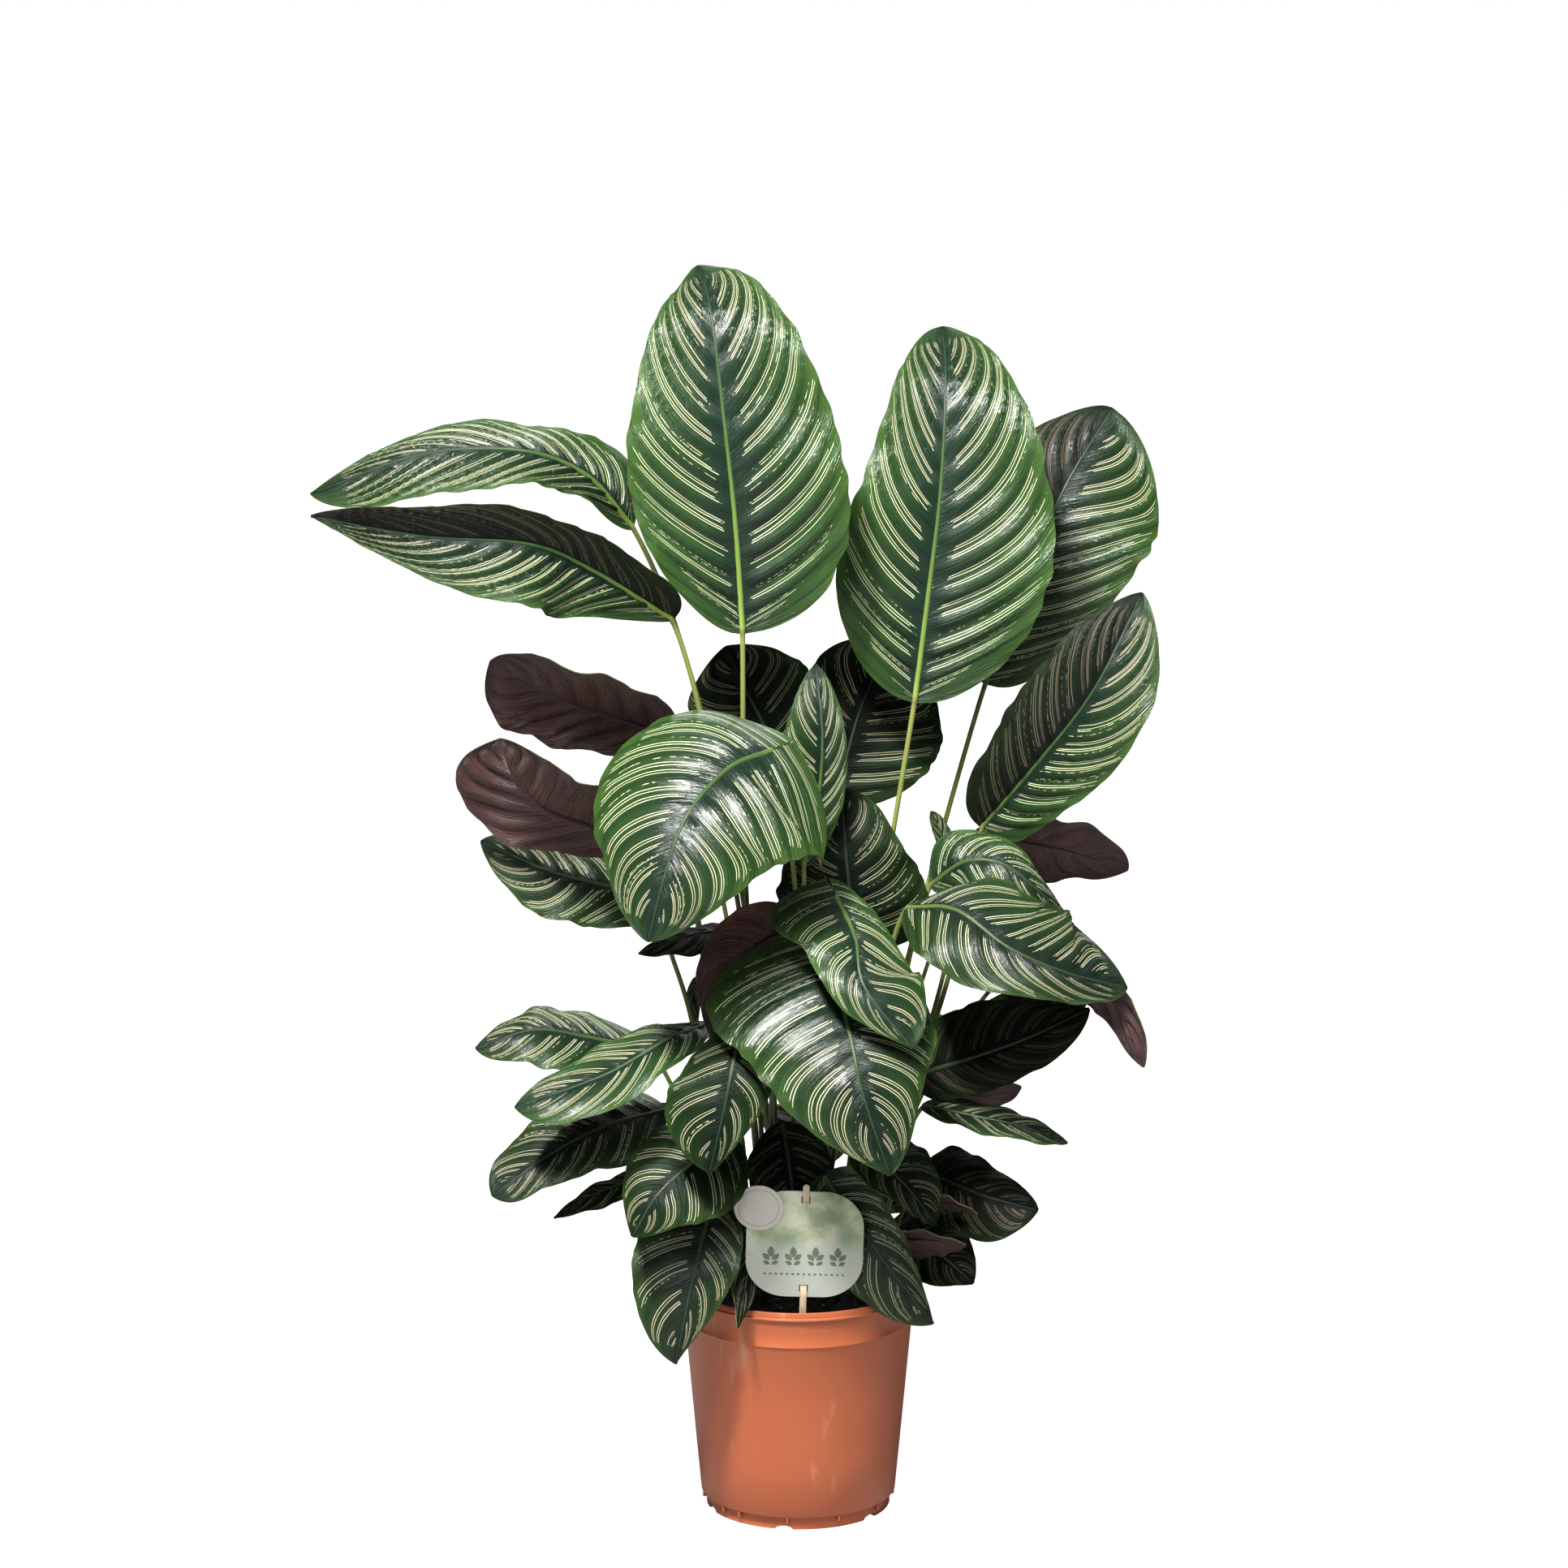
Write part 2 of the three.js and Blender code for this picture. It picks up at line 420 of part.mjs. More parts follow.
// A point of the blade's middle surface, and the way that the upper side looks there. across runs from
// -1 at the left edge to 1 at the right.
function bladePoint(leaf, rib, t, across) {
  const along = rib.getTangent(t);
  const up = new THREE.Vector3(...leaf.face);
  up.addScaledVector(along, -up.dot(along)).normalize();
  const side = new THREE.Vector3().crossVectors(along, up);
  const hand = Math.sign(across);
  const reach = Math.abs(across);
  const width = halfWidth(across < 0 ? leaf.left : leaf.right, t, leaf.tip);
  const folds = Array.isArray(leaf.fold) ? leaf.fold : [leaf.fold, leaf.fold];
  const fold = THREE.MathUtils.degToRad(across < 0 ? folds[0] : folds[1]);
  const turn = THREE.MathUtils.degToRad(leaf.curl) * reach;
  const chord = turn === 0 ? 1 : Math.sin(turn) / turn;
  const out = width * reach * chord * Math.cos(fold - turn);
  const phase = 2 * Math.PI * (WAVES * t + 0.3 * across);
  const ripple = leaf.wave * reach ** 2 * Math.sin(phase) * Math.sin(Math.PI * t);
  const lift = width * reach * chord * Math.sin(fold - turn) + ripple;
  const back = (leaf.lobe ?? 4) * reach ** 2 * (1 - t) ** 4;
  const point = rib.getPoint(t);
  point.addScaledVector(side, hand * out).addScaledVector(up, lift).addScaledVector(along, -back);
  const tilt = fold - 2 * turn;
  const normal = up.clone().multiplyScalar(Math.cos(tilt)).addScaledVector(side, -hand * Math.sin(tilt));
  return { point, normal };
}

// The blade is a thin closed body, with both faces split into triangles alike.
function blade(leaf, rib) {
  const rows = rib.getLength() < SHORT_BLADE_LENGTH ? SHORT_BLADE_ROWS : LONG_BLADE_ROWS;
  const columns = BLADE_COLUMNS.length;
  const positions = [];
  for (const face of [1, -1]) {
    for (let i = 0; i <= rows; i += 1) {
      const even = i / rows;
      const t = 0.6 * even + 0.4 * (1 - Math.cos(Math.PI * even)) / 2;
      for (const across of BLADE_COLUMNS) {
        const { point, normal } = bladePoint(leaf, rib, t, across);
        const swell = (1 - Math.abs(across)) ** 4 * (1 - 0.6 * t);
        const thickness = EDGE_THICKNESS + (RIB_THICKNESS - EDGE_THICKNESS) * swell;
        if (face < 0) point.addScaledVector(normal, -thickness);
        positions.push(point.x, point.y, point.z);
      }
    }
  }
  const under = (rows + 1) * columns;
  const at = (i, j) => i * columns + j;
  const index = [];
  const quad = (a, b, c, d) => index.push(a, b, c, a, c, d);
  for (let i = 0; i < rows; i += 1) {
    for (let j = 0; j < columns - 1; j += 1) {
      const [a, b, c, d] = [at(i, j), at(i, j + 1), at(i + 1, j + 1), at(i + 1, j)];
      quad(a, b, c, d);
      index.push(under + a, under + c, under + b, under + a, under + d, under + c);
    }
    const [left, leftNext] = [at(i, 0), at(i + 1, 0)];
    const [right, rightNext] = [at(i, columns - 1), at(i + 1, columns - 1)];
    quad(left, leftNext, under + leftNext, under + left);
    quad(rightNext, right, under + right, under + rightNext);
  }
  for (let j = 0; j < columns - 1; j += 1) {
    quad(at(0, j + 1), at(0, j), under + at(0, j), under + at(0, j + 1));
    quad(at(rows, j), at(rows, j + 1), under + at(rows, j + 1), under + at(rows, j));
  }
  return closedBody(positions, index);
}

// The stalk rises straight out of the soil, bends to the blade and runs on a little way under its
// midrib. It is thick where it sheathes at the foot. Made wider by a gap all round, and longer at the
// foot, it is also the hole that it stands in.
function stalk(leaf, rib, gap = 0) {
  const [x, y] = leaf.root;
  const base = rib.getPoint(0);
  const along = rib.getTangent(0);
  const path = new THREE.CatmullRomCurve3([
    new THREE.Vector3(x, y, SOIL_HEIGHT - STALK_DEPTH),
    new THREE.Vector3(x, y, SOIL_HEIGHT + STALK_STRAIGHT),
    ...leaf.via.map((bend) => new THREE.Vector3(...bend)),
    base,
    base.clone().addScaledVector(along, RIB_REACH),
  ], false, 'centripetal');
  const frames = path.computeFrenetFrames(STALK_STEPS, false);
  const positions = [];
  for (let i = 0; i <= STALK_STEPS; i += 1) {
    const s = i / STALK_STEPS;
    const centre = path.getPointAt(s);
    if (i === 0) centre.addScaledVector(frames.tangents[0], -gap);
    let radius = STALK_RADIUS + gap;
    const sheath = Math.max(0, 1 - s / SHEATH_SHARE);
    radius += (STALK_FOOT_RADIUS - STALK_RADIUS) * sheath;
    if (i === STALK_STEPS) radius = RIB_END_RADIUS;
    for (let k = 0; k < STALK_SIDES; k += 1) {
      const angle = 2 * Math.PI * k / STALK_SIDES;
      const point = centre.clone();
      point.addScaledVector(frames.normals[i], radius * Math.cos(angle));
      point.addScaledVector(frames.binormals[i], radius * Math.sin(angle));
      positions.push(point.x, point.y, point.z);
    }
  }
  const index = [];
  for (let i = 0; i < STALK_STEPS; i += 1) {
    for (let k = 0; k < STALK_SIDES; k += 1) {
      const next = (k + 1) % STALK_SIDES;
      const [a, b] = [i * STALK_SIDES + k, i * STALK_SIDES + next];
      index.push(a, b, b + STALK_SIDES, a, b + STALK_SIDES, a + STALK_SIDES);
    }
  }
  const top = STALK_STEPS * STALK_SIDES;
  for (let k = 1; k < STALK_SIDES - 1; k += 1) {
    index.push(0, k + 1, k);
    index.push(top, top + k, top + k + 1);
  }
  return closedBody(positions, index);
}

function ribOf(leaf) {
  return new THREE.CatmullRomCurve3(leaf.rib.map((p) => new THREE.Vector3(...p)), false, 'catmullrom', 0.5);
}

function leafGeometry(leaf) {
  const rib = ribOf(leaf);
  return geometryOf(solid(blade(leaf, rib)).add(solid(stalk(leaf, rib))));
}

// The label stands near the front of the pot and leans forward, and a little to the right.
function place(geometry) {
  geometry.rotateX(THREE.MathUtils.degToRad(LABEL_TILT));
  geometry.rotateY(THREE.MathUtils.degToRad(LABEL_LEAN));
  geometry.translate(...LABEL_PLACE);
}

// A shape drawn from the front, as a plate round the plane y = 0.
function plate(shape, thickness) {
  const options = { depth: thickness, bevelEnabled: false, curveSegments: 6 };
  const geometry = new THREE.ExtrudeGeometry(shape, options);
  geometry.rotateX(Math.PI / 2);
  geometry.translate(0, thickness / 2, 0);
  return geometry;
}

function roundedPlate(width, height, corner, thickness) {
  const [x, y] = [width / 2, height / 2];
  const shape = new THREE.Shape();
  shape.moveTo(-x + corner, -y);
  shape.lineTo(x - corner, -y);
  shape.absarc(x - corner, -y + corner, corner, -Math.PI / 2, 0, false);
  shape.lineTo(x, y - corner);
  shape.absarc(x - corner, y - corner, corner, 0, Math.PI / 2, false);
  shape.lineTo(-x + corner, y);
  shape.absarc(-x + corner, y - corner, corner, Math.PI / 2, Math.PI, false);
  shape.lineTo(-x, -y + corner);
  shape.absarc(-x + corner, -y + corner, corner, Math.PI, 1.5 * Math.PI, false);
  return plate(shape, thickness);
}

// One die-cut card: the rounded square and the disc on its upper left corner, with two slots.
function card() {
  const disc = new THREE.CylinderGeometry(DISC_RADIUS, DISC_RADIUS, CARD_THICKNESS, 24);
  disc.translate(DISC_OFFSET[0], 0, DISC_OFFSET[1]);
  let body = solid(roundedPlate(CARD_WIDTH, CARD_HEIGHT, CARD_CORNER, CARD_THICKNESS)).add(solid(disc));
  for (const level of [-SLOT_REACH, SLOT_REACH]) {
    const slot = new THREE.BoxGeometry(SLOT_WIDTH, 4 * CARD_THICKNESS, SLOT_HEIGHT);
    slot.translate(0, 0, level);
    body = body.subtract(solid(slot));
  }
  const geometry = geometryOf(body);
  place(geometry);
  return geometry;
}

// The stick runs down in front of the card's top edge, behind the card between the two slots, and in
// front of its bottom edge into the soil.
function stick() {
  const half = STICK_THICKNESS / 2;
  const line = [
    [STICK_LEVEL, STICK_TOP],
    [STICK_LEVEL, SLOT_REACH + SLOT_HEIGHT / 2],
    [-STICK_LEVEL, SLOT_REACH - SLOT_HEIGHT / 2],
    [-STICK_LEVEL, -SLOT_REACH + SLOT_HEIGHT / 2],
    [STICK_LEVEL, -SLOT_REACH - SLOT_HEIGHT / 2],
    [STICK_LEVEL, STICK_TOP - STICK_LENGTH],
  ];
  const fronts = line.map(([y, z]) => new THREE.Vector2(y - half, z));
  const backs = line.map(([y, z]) => new THREE.Vector2(y + half, z));
  const side = new THREE.Shape([...fronts, ...backs.reverse()]);
  const strip = new THREE.ExtrudeGeometry(side, { depth: STICK_WIDTH, bevelEnabled: false });
  strip.rotateX(Math.PI / 2);
  strip.rotateZ(Math.PI / 2);
  strip.translate(-STICK_WIDTH / 2, 0, 0);
  const face = roundedPlate(STICK_WIDTH, STICK_LENGTH, STICK_WIDTH / 2 - 0.01, 12);
  face.translate(0, 0, STICK_TOP - STICK_LENGTH / 2);
  const geometry = geometryOf(solid(strip).intersect(solid(face)));
  place(geometry);
  return geometry;
}

const group = new THREE.Group();
group.add(piece('pot', pot(), materials.pot));
group.add(piece('soil', soil(), materials.soil));
group.add(piece('label_card', card(), materials.card));
group.add(piece('label_stick', stick(), materials.stick));
for (const leaf of LEAVES) {
  group.add(piece(leaf.name, leafGeometry(leaf), materials.leaf));
}

export default group;
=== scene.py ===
"""Potted pinstripe calathea: a clump of glossy pinstriped leaves in a terracotta-coloured nursery pot."""

import math
import random

import bpy
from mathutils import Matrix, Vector, noise


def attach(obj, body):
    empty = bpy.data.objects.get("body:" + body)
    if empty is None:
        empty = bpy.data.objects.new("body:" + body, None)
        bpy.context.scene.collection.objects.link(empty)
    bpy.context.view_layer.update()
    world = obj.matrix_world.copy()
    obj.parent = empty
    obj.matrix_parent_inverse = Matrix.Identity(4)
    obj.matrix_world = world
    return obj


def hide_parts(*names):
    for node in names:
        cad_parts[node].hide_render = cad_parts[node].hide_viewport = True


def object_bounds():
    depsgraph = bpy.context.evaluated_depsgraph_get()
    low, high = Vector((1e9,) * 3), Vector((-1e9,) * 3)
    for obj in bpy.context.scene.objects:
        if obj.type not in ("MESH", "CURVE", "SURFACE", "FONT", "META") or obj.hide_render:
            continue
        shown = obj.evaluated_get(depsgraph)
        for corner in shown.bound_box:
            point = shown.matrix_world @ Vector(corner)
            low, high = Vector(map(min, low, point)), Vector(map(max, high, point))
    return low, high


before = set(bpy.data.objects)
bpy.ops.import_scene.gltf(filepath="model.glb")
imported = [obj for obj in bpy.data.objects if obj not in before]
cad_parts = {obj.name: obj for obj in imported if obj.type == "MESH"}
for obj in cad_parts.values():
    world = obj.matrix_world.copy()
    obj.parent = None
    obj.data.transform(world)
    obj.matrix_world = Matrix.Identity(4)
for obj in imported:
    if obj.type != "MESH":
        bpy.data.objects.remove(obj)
cad_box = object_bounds()
bpy.ops.object.select_all(action="DESELECT")
MM = 0.001


# The studio: the plant stands on a pale floor in front of a white ground. The camera stands 6.5 m away
# and a little over 2 m up, with a long lens, and looks down by 14 degrees.
bpy.ops.object.camera_add(location=(-0.013, -6.5, 2.3), rotation=(math.radians(75.97), 0, 0))
camera = bpy.context.object
camera.name = "camera"
camera.data.sensor_width = 36
camera.data.lens = 171.8
bpy.context.scene.camera = camera
bpy.context.scene.view_settings.view_transform = "Standard"

bpy.ops.mesh.primitive_plane_add(size=14, location=(0, 0, 0))
floor = bpy.context.object
floor.name = "floor"


def finish_nodes(name, roughness):
    made = bpy.data.materials.new(name)
    made.use_nodes = True
    shader = made.node_tree.nodes["Principled BSDF"]
    shader.inputs["Roughness"].default_value = roughness
    return made, made.node_tree, shader


def node(kind):
    return tree.nodes.new("ShaderNode" + kind)


def level(name, value):
    shader.inputs[name].default_value = value


def sums(operation, first, second=None, third=None):
    made = node("Math")
    made.operation = operation
    for socket, value in zip(made.inputs, (first, second, third)):
        if isinstance(value, (int, float)):
            socket.default_value = value
        elif value is not None:
            tree.links.new(value, socket)
    return made.outputs[0]


floor_finish, tree, shader = finish_nodes("pale_floor", 0.9)
level("Base Color", (0.35, 0.35, 0.35, 1))
level("Specular IOR Level", 0.1)
level("Emission Color", (1, 1, 1, 1))
glow = sums("MULTIPLY", node("LightPath").outputs["Is Camera Ray"], 0.95)
tree.links.new(glow, shader.inputs["Emission Strength"])
floor.data.materials.append(floor_finish)


def soft_light(name, place, target, size, power, colour):
    bpy.ops.object.light_add(type="AREA", location=place)
    light = bpy.context.object
    light.name = name
    light.data.shape = "DISK"
    light.data.size = size
    light.data.energy = power
    light.data.color = colour
    aim = Vector(target) - Vector(place)
    light.rotation_euler = aim.to_track_quat("-Z", "Y").to_euler()


soft_light("key_light", (-1.15, -2.1, 4.7), (0, 0, 0.6), 0.6, 375, (1.0, 0.985, 0.965))
soft_light("softbox", (-0.5, -2.7, 4.0), (0, 0, 0.7), 1.1, 100, (1.0, 0.99, 0.97))
soft_light("low_softbox", (-1.5, -3.7, 1.9), (0, 0, 0.6), 0.7, 14, (0.93, 0.97, 1.0))
soft_light("back_light", (0.4, 3.6, 1.9), (0, 0, 0.6), 2.6, 32, (0.97, 0.99, 1.0))
soft_light("fill_light", (3.0, -3.4, 1.4), (0, 0, 0.5), 2.0, 3, (0.95, 0.97, 1.0))
soft_light("right_softbox", (1.1, -2.3, 3.6), (0, 0, 0.8), 0.7, 16, (0.97, 0.99, 1.0))
soft_light("top_light", (0.3, 1.4, 3.2), (0, 0, 0.6), 1.2, 7, (0.97, 0.98, 1.0))

world = bpy.data.worlds.new("white_ground")
world.use_nodes = True
bpy.context.scene.world = world
tree = world.node_tree
for old in list(tree.nodes):
    tree.nodes.remove(old)
sky_mix = node("MixShader")
tree.links.new(node("LightPath").outputs["Is Camera Ray"], sky_mix.inputs["Fac"])
for socket, colour, strength in ((1, (0.9, 0.95, 1, 1), 0.035), (2, (1, 1, 1, 1), 1.0)):
    sky = node("Background")
    sky.inputs["Color"].default_value = colour
    sky.inputs["Strength"].default_value = strength
    tree.links.new(sky.outputs[0], sky_mix.inputs[socket])
tree.links.new(sky_mix.outputs[0], node("OutputWorld").inputs["Surface"])


# The pot: one thin-walled moulding in satin terracotta-coloured plastic, turned about its axis. It has a
# stepped lip, a raised line below it, and a foot set in under the wall with ribs, notches and drains.
def scaled(value, factor, offset):
    return sums("MULTIPLY_ADD", value, factor, offset)


def times(first, second):
    return sums("MULTIPLY", first, second)


def plus(first, second):
    return sums("ADD", first, second)


def minus(first, second):
    return sums("SUBTRACT", first, second)


def painted(colour):
    tree.links.new(colour, shader.inputs["Base Color"])


def fade(value, low, high):
    made = node("MapRange")
    made.interpolation_type = "SMOOTHSTEP"
    made.clamp = True
    tree.links.new(value, made.inputs["Value"])
    made.inputs["From Min"].default_value = low
    made.inputs["From Max"].default_value = high
    return made.outputs["Result"]


def colour_steps(value, stops):
    made = node("ValToRGB")
    steps = made.color_ramp.elements
    while len(steps) < len(stops):
        steps.new(0.5)
    for step, (place, colour) in zip(steps, stops):
        step.position = place
        step.color = (*colour, 1)
    tree.links.new(value, made.inputs["Fac"])
    return made.outputs["Color"]


def blended(share, first, second):
    made = node("Mix")
    made.data_type = "RGBA"
    for socket, value in ((made.inputs[0], share), (made.inputs[6], first), (made.inputs[7], second)):
        if isinstance(value, tuple):
            socket.default_value = (*value, 1)
        elif isinstance(value, (int, float)):
            socket.default_value = value
        else:
            tree.links.new(value, socket)
    return made.outputs[2]


def grains(scale, detail=2, stretch=None, vector=None):
    if vector is None:
        vector = node("TexCoord").outputs["Object"]
    if stretch is not None:
        mapping = node("Mapping")
        mapping.inputs["Scale"].default_value = stretch
        tree.links.new(vector, mapping.inputs["Vector"])
        vector = mapping.outputs["Vector"]
    made = node("TexNoise")
    made.inputs["Scale"].default_value = scale
    made.inputs["Detail"].default_value = detail
    tree.links.new(vector, made.inputs["Vector"])
    return made.outputs["Fac"]


def bumps(height, depth, strength=1.0, below=None):
    made = node("Bump")
    made.inputs["Distance"].default_value = depth
    made.inputs["Strength"].default_value = strength
    tree.links.new(height, made.inputs["Height"])
    if below is not None:
        tree.links.new(below, made.inputs["Normal"])
    tree.links.new(made.outputs["Normal"], shader.inputs["Normal"])
    return made.outputs["Normal"]


def edit_all():
    bpy.ops.object.mode_set(mode="EDIT")
    bpy.ops.mesh.select_all(action="SELECT")


def face_outwards():
    bpy.ops.mesh.select_all(action="SELECT")
    bpy.ops.mesh.normals_make_consistent(inside=False)
    bpy.ops.object.mode_set(mode="OBJECT")


def pick(things, first):
    bpy.ops.object.select_all(action="DESELECT")
    for thing in things:
        thing.select_set(True)
    bpy.context.view_layer.objects.active = first


def joined(things, first, name):
    pick(things, first)
    bpy.ops.object.join()
    first.name = name
    return first


def smoothed(thing, degrees):
    pick([thing], thing)
    bpy.ops.object.shade_smooth_by_angle(angle=math.radians(degrees))
    bpy.ops.object.select_all(action="DESELECT")


def turned(rings, sides):
    radius, height = rings[0]
    bpy.ops.mesh.primitive_circle_add(vertices=sides, radius=radius * MM, fill_type="NGON",
                                      location=(0, 0, height * MM))
    made = bpy.context.object
    bpy.ops.object.transform_apply()
    edit_all()
    for next_radius, next_height in rings[1:]:
        rise = (0, 0, (next_height - height) * MM)
        bpy.ops.mesh.extrude_region_move(TRANSFORM_OT_translate={"value": rise})
        grow = next_radius / radius
        bpy.ops.transform.resize(value=(grow, grow, 1), center_override=(0, 0, next_height * MM))
        radius, height = next_radius, next_height
    face_outwards()
    return made


def apply_modifier(thing, kind, **settings):
    made = thing.modifiers.new(kind.lower(), kind)
    for key, value in settings.items():
        setattr(made, key, value)
    bpy.context.view_layer.objects.active = thing
    bpy.ops.object.modifier_apply(modifier=made.name)


def cut_with(thing, tool):
    apply_modifier(thing, "BOOLEAN", operation="DIFFERENCE", solver="EXACT", object=tool)
    bpy.data.objects.remove(tool, do_unlink=True)


def pot_wall(height):
    return 88.6 + 18.3 * (height - 12.5) / 200.5


pot = turned([
    (16.0, 0.0), (19.0, 6.8), (77.5, 6.8), (79.5, 0.0), (83.7, 0.0), (83.7, 12.5), (87.8, 12.5),
    (88.6, 13.6), (pot_wall(60), 60), (pot_wall(120), 120), (pot_wall(176.6), 176.6),
    (pot_wall(178) + 0.5, 178.0), (pot_wall(179.4) + 1.3, 179.4), (pot_wall(181) + 1.0, 181.0),
    (pot_wall(182.6) + 0.1, 182.6), (pot_wall(192), 192.0), (pot_wall(201) - 0.2, 201.0),
    (pot_wall(204.6), 204.6), (108.1, 205.2), (108.5, 206.0), (108.4, 207.0), (107.3, 207.8),
    (107.1, 212.2), (106.7, 212.9), (105.6, 213.0), (104.7, 212.4), (pot_wall(120) - 2.2, 120),
    (pot_wall(14.7) - 2.2, 14.7), (81.5, 14.7), (78.5, 9.0), (1.0, 9.0),
], 144)
for i in range(8):
    angle = (i + 0.5) * math.pi / 4
    place = (50 * MM * math.cos(angle), 50 * MM * math.sin(angle), 9 * MM)
    bpy.ops.mesh.primitive_cylinder_add(vertices=32, radius=6 * MM, depth=30 * MM, location=place)
    cut_with(pot, bpy.context.object)
for i in range(6):
    angle = (i + 0.35) * math.pi / 3
    place = (84 * MM * math.cos(angle), 84 * MM * math.sin(angle), 0)
    bpy.ops.mesh.primitive_cylinder_add(vertices=32, radius=1, depth=20 * MM, location=place,
                                        rotation=(0, math.pi / 2, angle))
    notch = bpy.context.object
    notch.scale = (3.5 * MM, 8 * MM, 1)
    bpy.ops.object.transform_apply()
    cut_with(pot, notch)
ribs = []
for i in range(12):
    angle = math.radians(i * 31.5 - 128)
    place = (85.9 * MM * math.cos(angle), 85.9 * MM * math.sin(angle), 9.4 * MM)
    bpy.ops.mesh.primitive_cube_add(size=1, location=place, rotation=(0, 0, angle))
    rib = bpy.context.object
    rib.scale = (3.8 * MM, 1.6 * MM, 6.0 * MM)
    bpy.ops.object.transform_apply()
    apply_modifier(rib, "BEVEL", width=0.5 * MM, segments=2)
    ribs.append(rib)
joined([*ribs, pot], pot, "nursery_pot")
smoothed(pot, 32)

pot_plastic, tree, shader = finish_nodes("terracotta_coloured_plastic", 0.42)
clouds = grains(9, 3)
scuffs = grains(60, 6, stretch=(1, 1, 0.25))
colour = colour_steps(clouds, [(0.3, (0.520, 0.129, 0.049)), (0.7, (0.585, 0.152, 0.060))])
colour = blended(fade(scuffs, 0.62, 0.8), colour, (0.66, 0.27, 0.14))
painted(colour)
gloss = scaled(scuffs, 0.16, 0.34)
tree.links.new(gloss, shader.inputs["Roughness"])
mould = grains(900, 2)
bumps(mould, 0.00006, 0.5)
level("Subsurface Weight", 0.05)
level("Subsurface Radius", (0.006, 0.002, 0.001))
pot.data.materials.append(pot_plastic)
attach(pot, "root")
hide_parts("pot")


# The soil: moist black peat, raked up a little towards the stalks, with crumbs of bark and pale perlite
# grains lying in it. It fills the pot to just under the rim.
SOIL_TOP = 206.0
SOIL_RADIUS = pot_wall(200) - 2.7
random.seed(11)


def soil_height(x, y):
    share = math.hypot(x, y) / SOIL_RADIUS
    lump = noise.fractal(Vector((x / 17, y / 17, 3.1)), 0.9, 2.1, 4)
    return SOIL_TOP - 4.5 * max(0, share - 0.75) / 0.25 + 2.2 * lump - 0.6


bpy.ops.mesh.primitive_grid_add(x_subdivisions=110, y_subdivisions=110, size=2)
soil = bpy.context.object
soil.name = "peat_soil"
for point in soil.data.vertices:
    x = point.co.x * math.sqrt(1 - point.co.y ** 2 / 2) * SOIL_RADIUS
    y = point.co.y * math.sqrt(1 - point.co.x ** 2 / 2) * SOIL_RADIUS
    point.co = (x * MM, y * MM, soil_height(x, y) * MM)
edit_all()
bpy.ops.mesh.region_to_loop()
for depth, grow in ((-30, 0.985), (-155, 0.815)):
    bpy.ops.mesh.extrude_edges_move(TRANSFORM_OT_translate={"value": (0, 0, depth * MM)})
    bpy.ops.transform.resize(value=(grow, grow, 1), center_override=(0, 0, 0))
bpy.ops.mesh.edge_face_add()
face_outwards()
smoothed(soil, 50)

peat, tree, shader = finish_nodes("moist_peat", 0.85)
crumbs = grains(420, 6)
damp = grains(60, 3)
colour = colour_steps(crumbs, [(0.3, (0.006, 0.004, 0.003)), (0.62, (0.028, 0.018, 0.012)),
                               (0.8, (0.07, 0.045, 0.03))])
colour = blended(fade(damp, 0.35, 0.7), colour, (0.012, 0.009, 0.007))
painted(colour)
bumps(crumbs, 0.0016)
soil.data.materials.append(peat)
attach(soil, "root")
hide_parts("soil")


def scattered(name, count, smallest, largest, flat, finish):
    bpy.ops.mesh.primitive_ico_sphere_add(subdivisions=1, radius=1)
    seed_grain = bpy.context.object
    grains_made = []
    for i in range(count):
        grain = seed_grain.copy()
        grain.data = seed_grain.data.copy()
        bpy.context.collection.objects.link(grain)
        reach = SOIL_RADIUS * math.sqrt(random.random()) * 0.97
        angle = random.random() * 2 * math.pi
        x, y = reach * math.cos(angle), reach * math.sin(angle)
        size = smallest + (largest - smallest) * random.random() ** 2
        for point in grain.data.vertices:
            point.co *= 1 + 0.35 * noise.noise(point.co * 1.7 + Vector((i, 0, 0)))
        grain.scale = Vector((size, size * (0.6 + 0.4 * random.random()), size * flat)) * MM
        grain.rotation_euler = (random.random() * 0.7, random.random() * 0.7, random.random() * 6)
        grain.location = Vector((x, y, soil_height(x, y) + size * flat * 0.35)) * MM
        grains_made.append(grain)
    bpy.data.objects.remove(seed_grain, do_unlink=True)
    made = joined(grains_made, grains_made[0], name)
    bpy.ops.object.transform_apply()
    bpy.ops.object.select_all(action="DESELECT")
    made.data.materials.append(finish)
    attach(made, "root")


perlite, tree, shader = finish_nodes("perlite", 0.9)
specks = grains(700, 3)
colour = colour_steps(specks, [(0.35, (0.42, 0.38, 0.31)), (0.6, (0.74, 0.71, 0.64))])
painted(colour)
bumps(specks, 0.0004)
bark, tree, shader = finish_nodes("bark_crumbs", 0.8)
specks = grains(500, 4, stretch=(1, 1, 0.3))
colour = colour_steps(specks, [(0.35, (0.018, 0.010, 0.006)), (0.7, (0.085, 0.05, 0.03))])
painted(colour)
bumps(specks, 0.0006)
scattered("perlite_grains", 170, 0.5, 1.7, 0.8, perlite)
scattered("bark_bits", 420, 0.7, 3.0, 0.5, bark)


# The plant label: a stiff printed card with rounded corners and a disc at its upper left, cut from one
# sheet, threaded through two slots onto a flat wooden stick that stands in the soil.
CARD_SIDE = 105
CARD_THICK = 0.8
SLOT_AT = 44
SLOT_HIGH = 7
STICK_LONG = 160


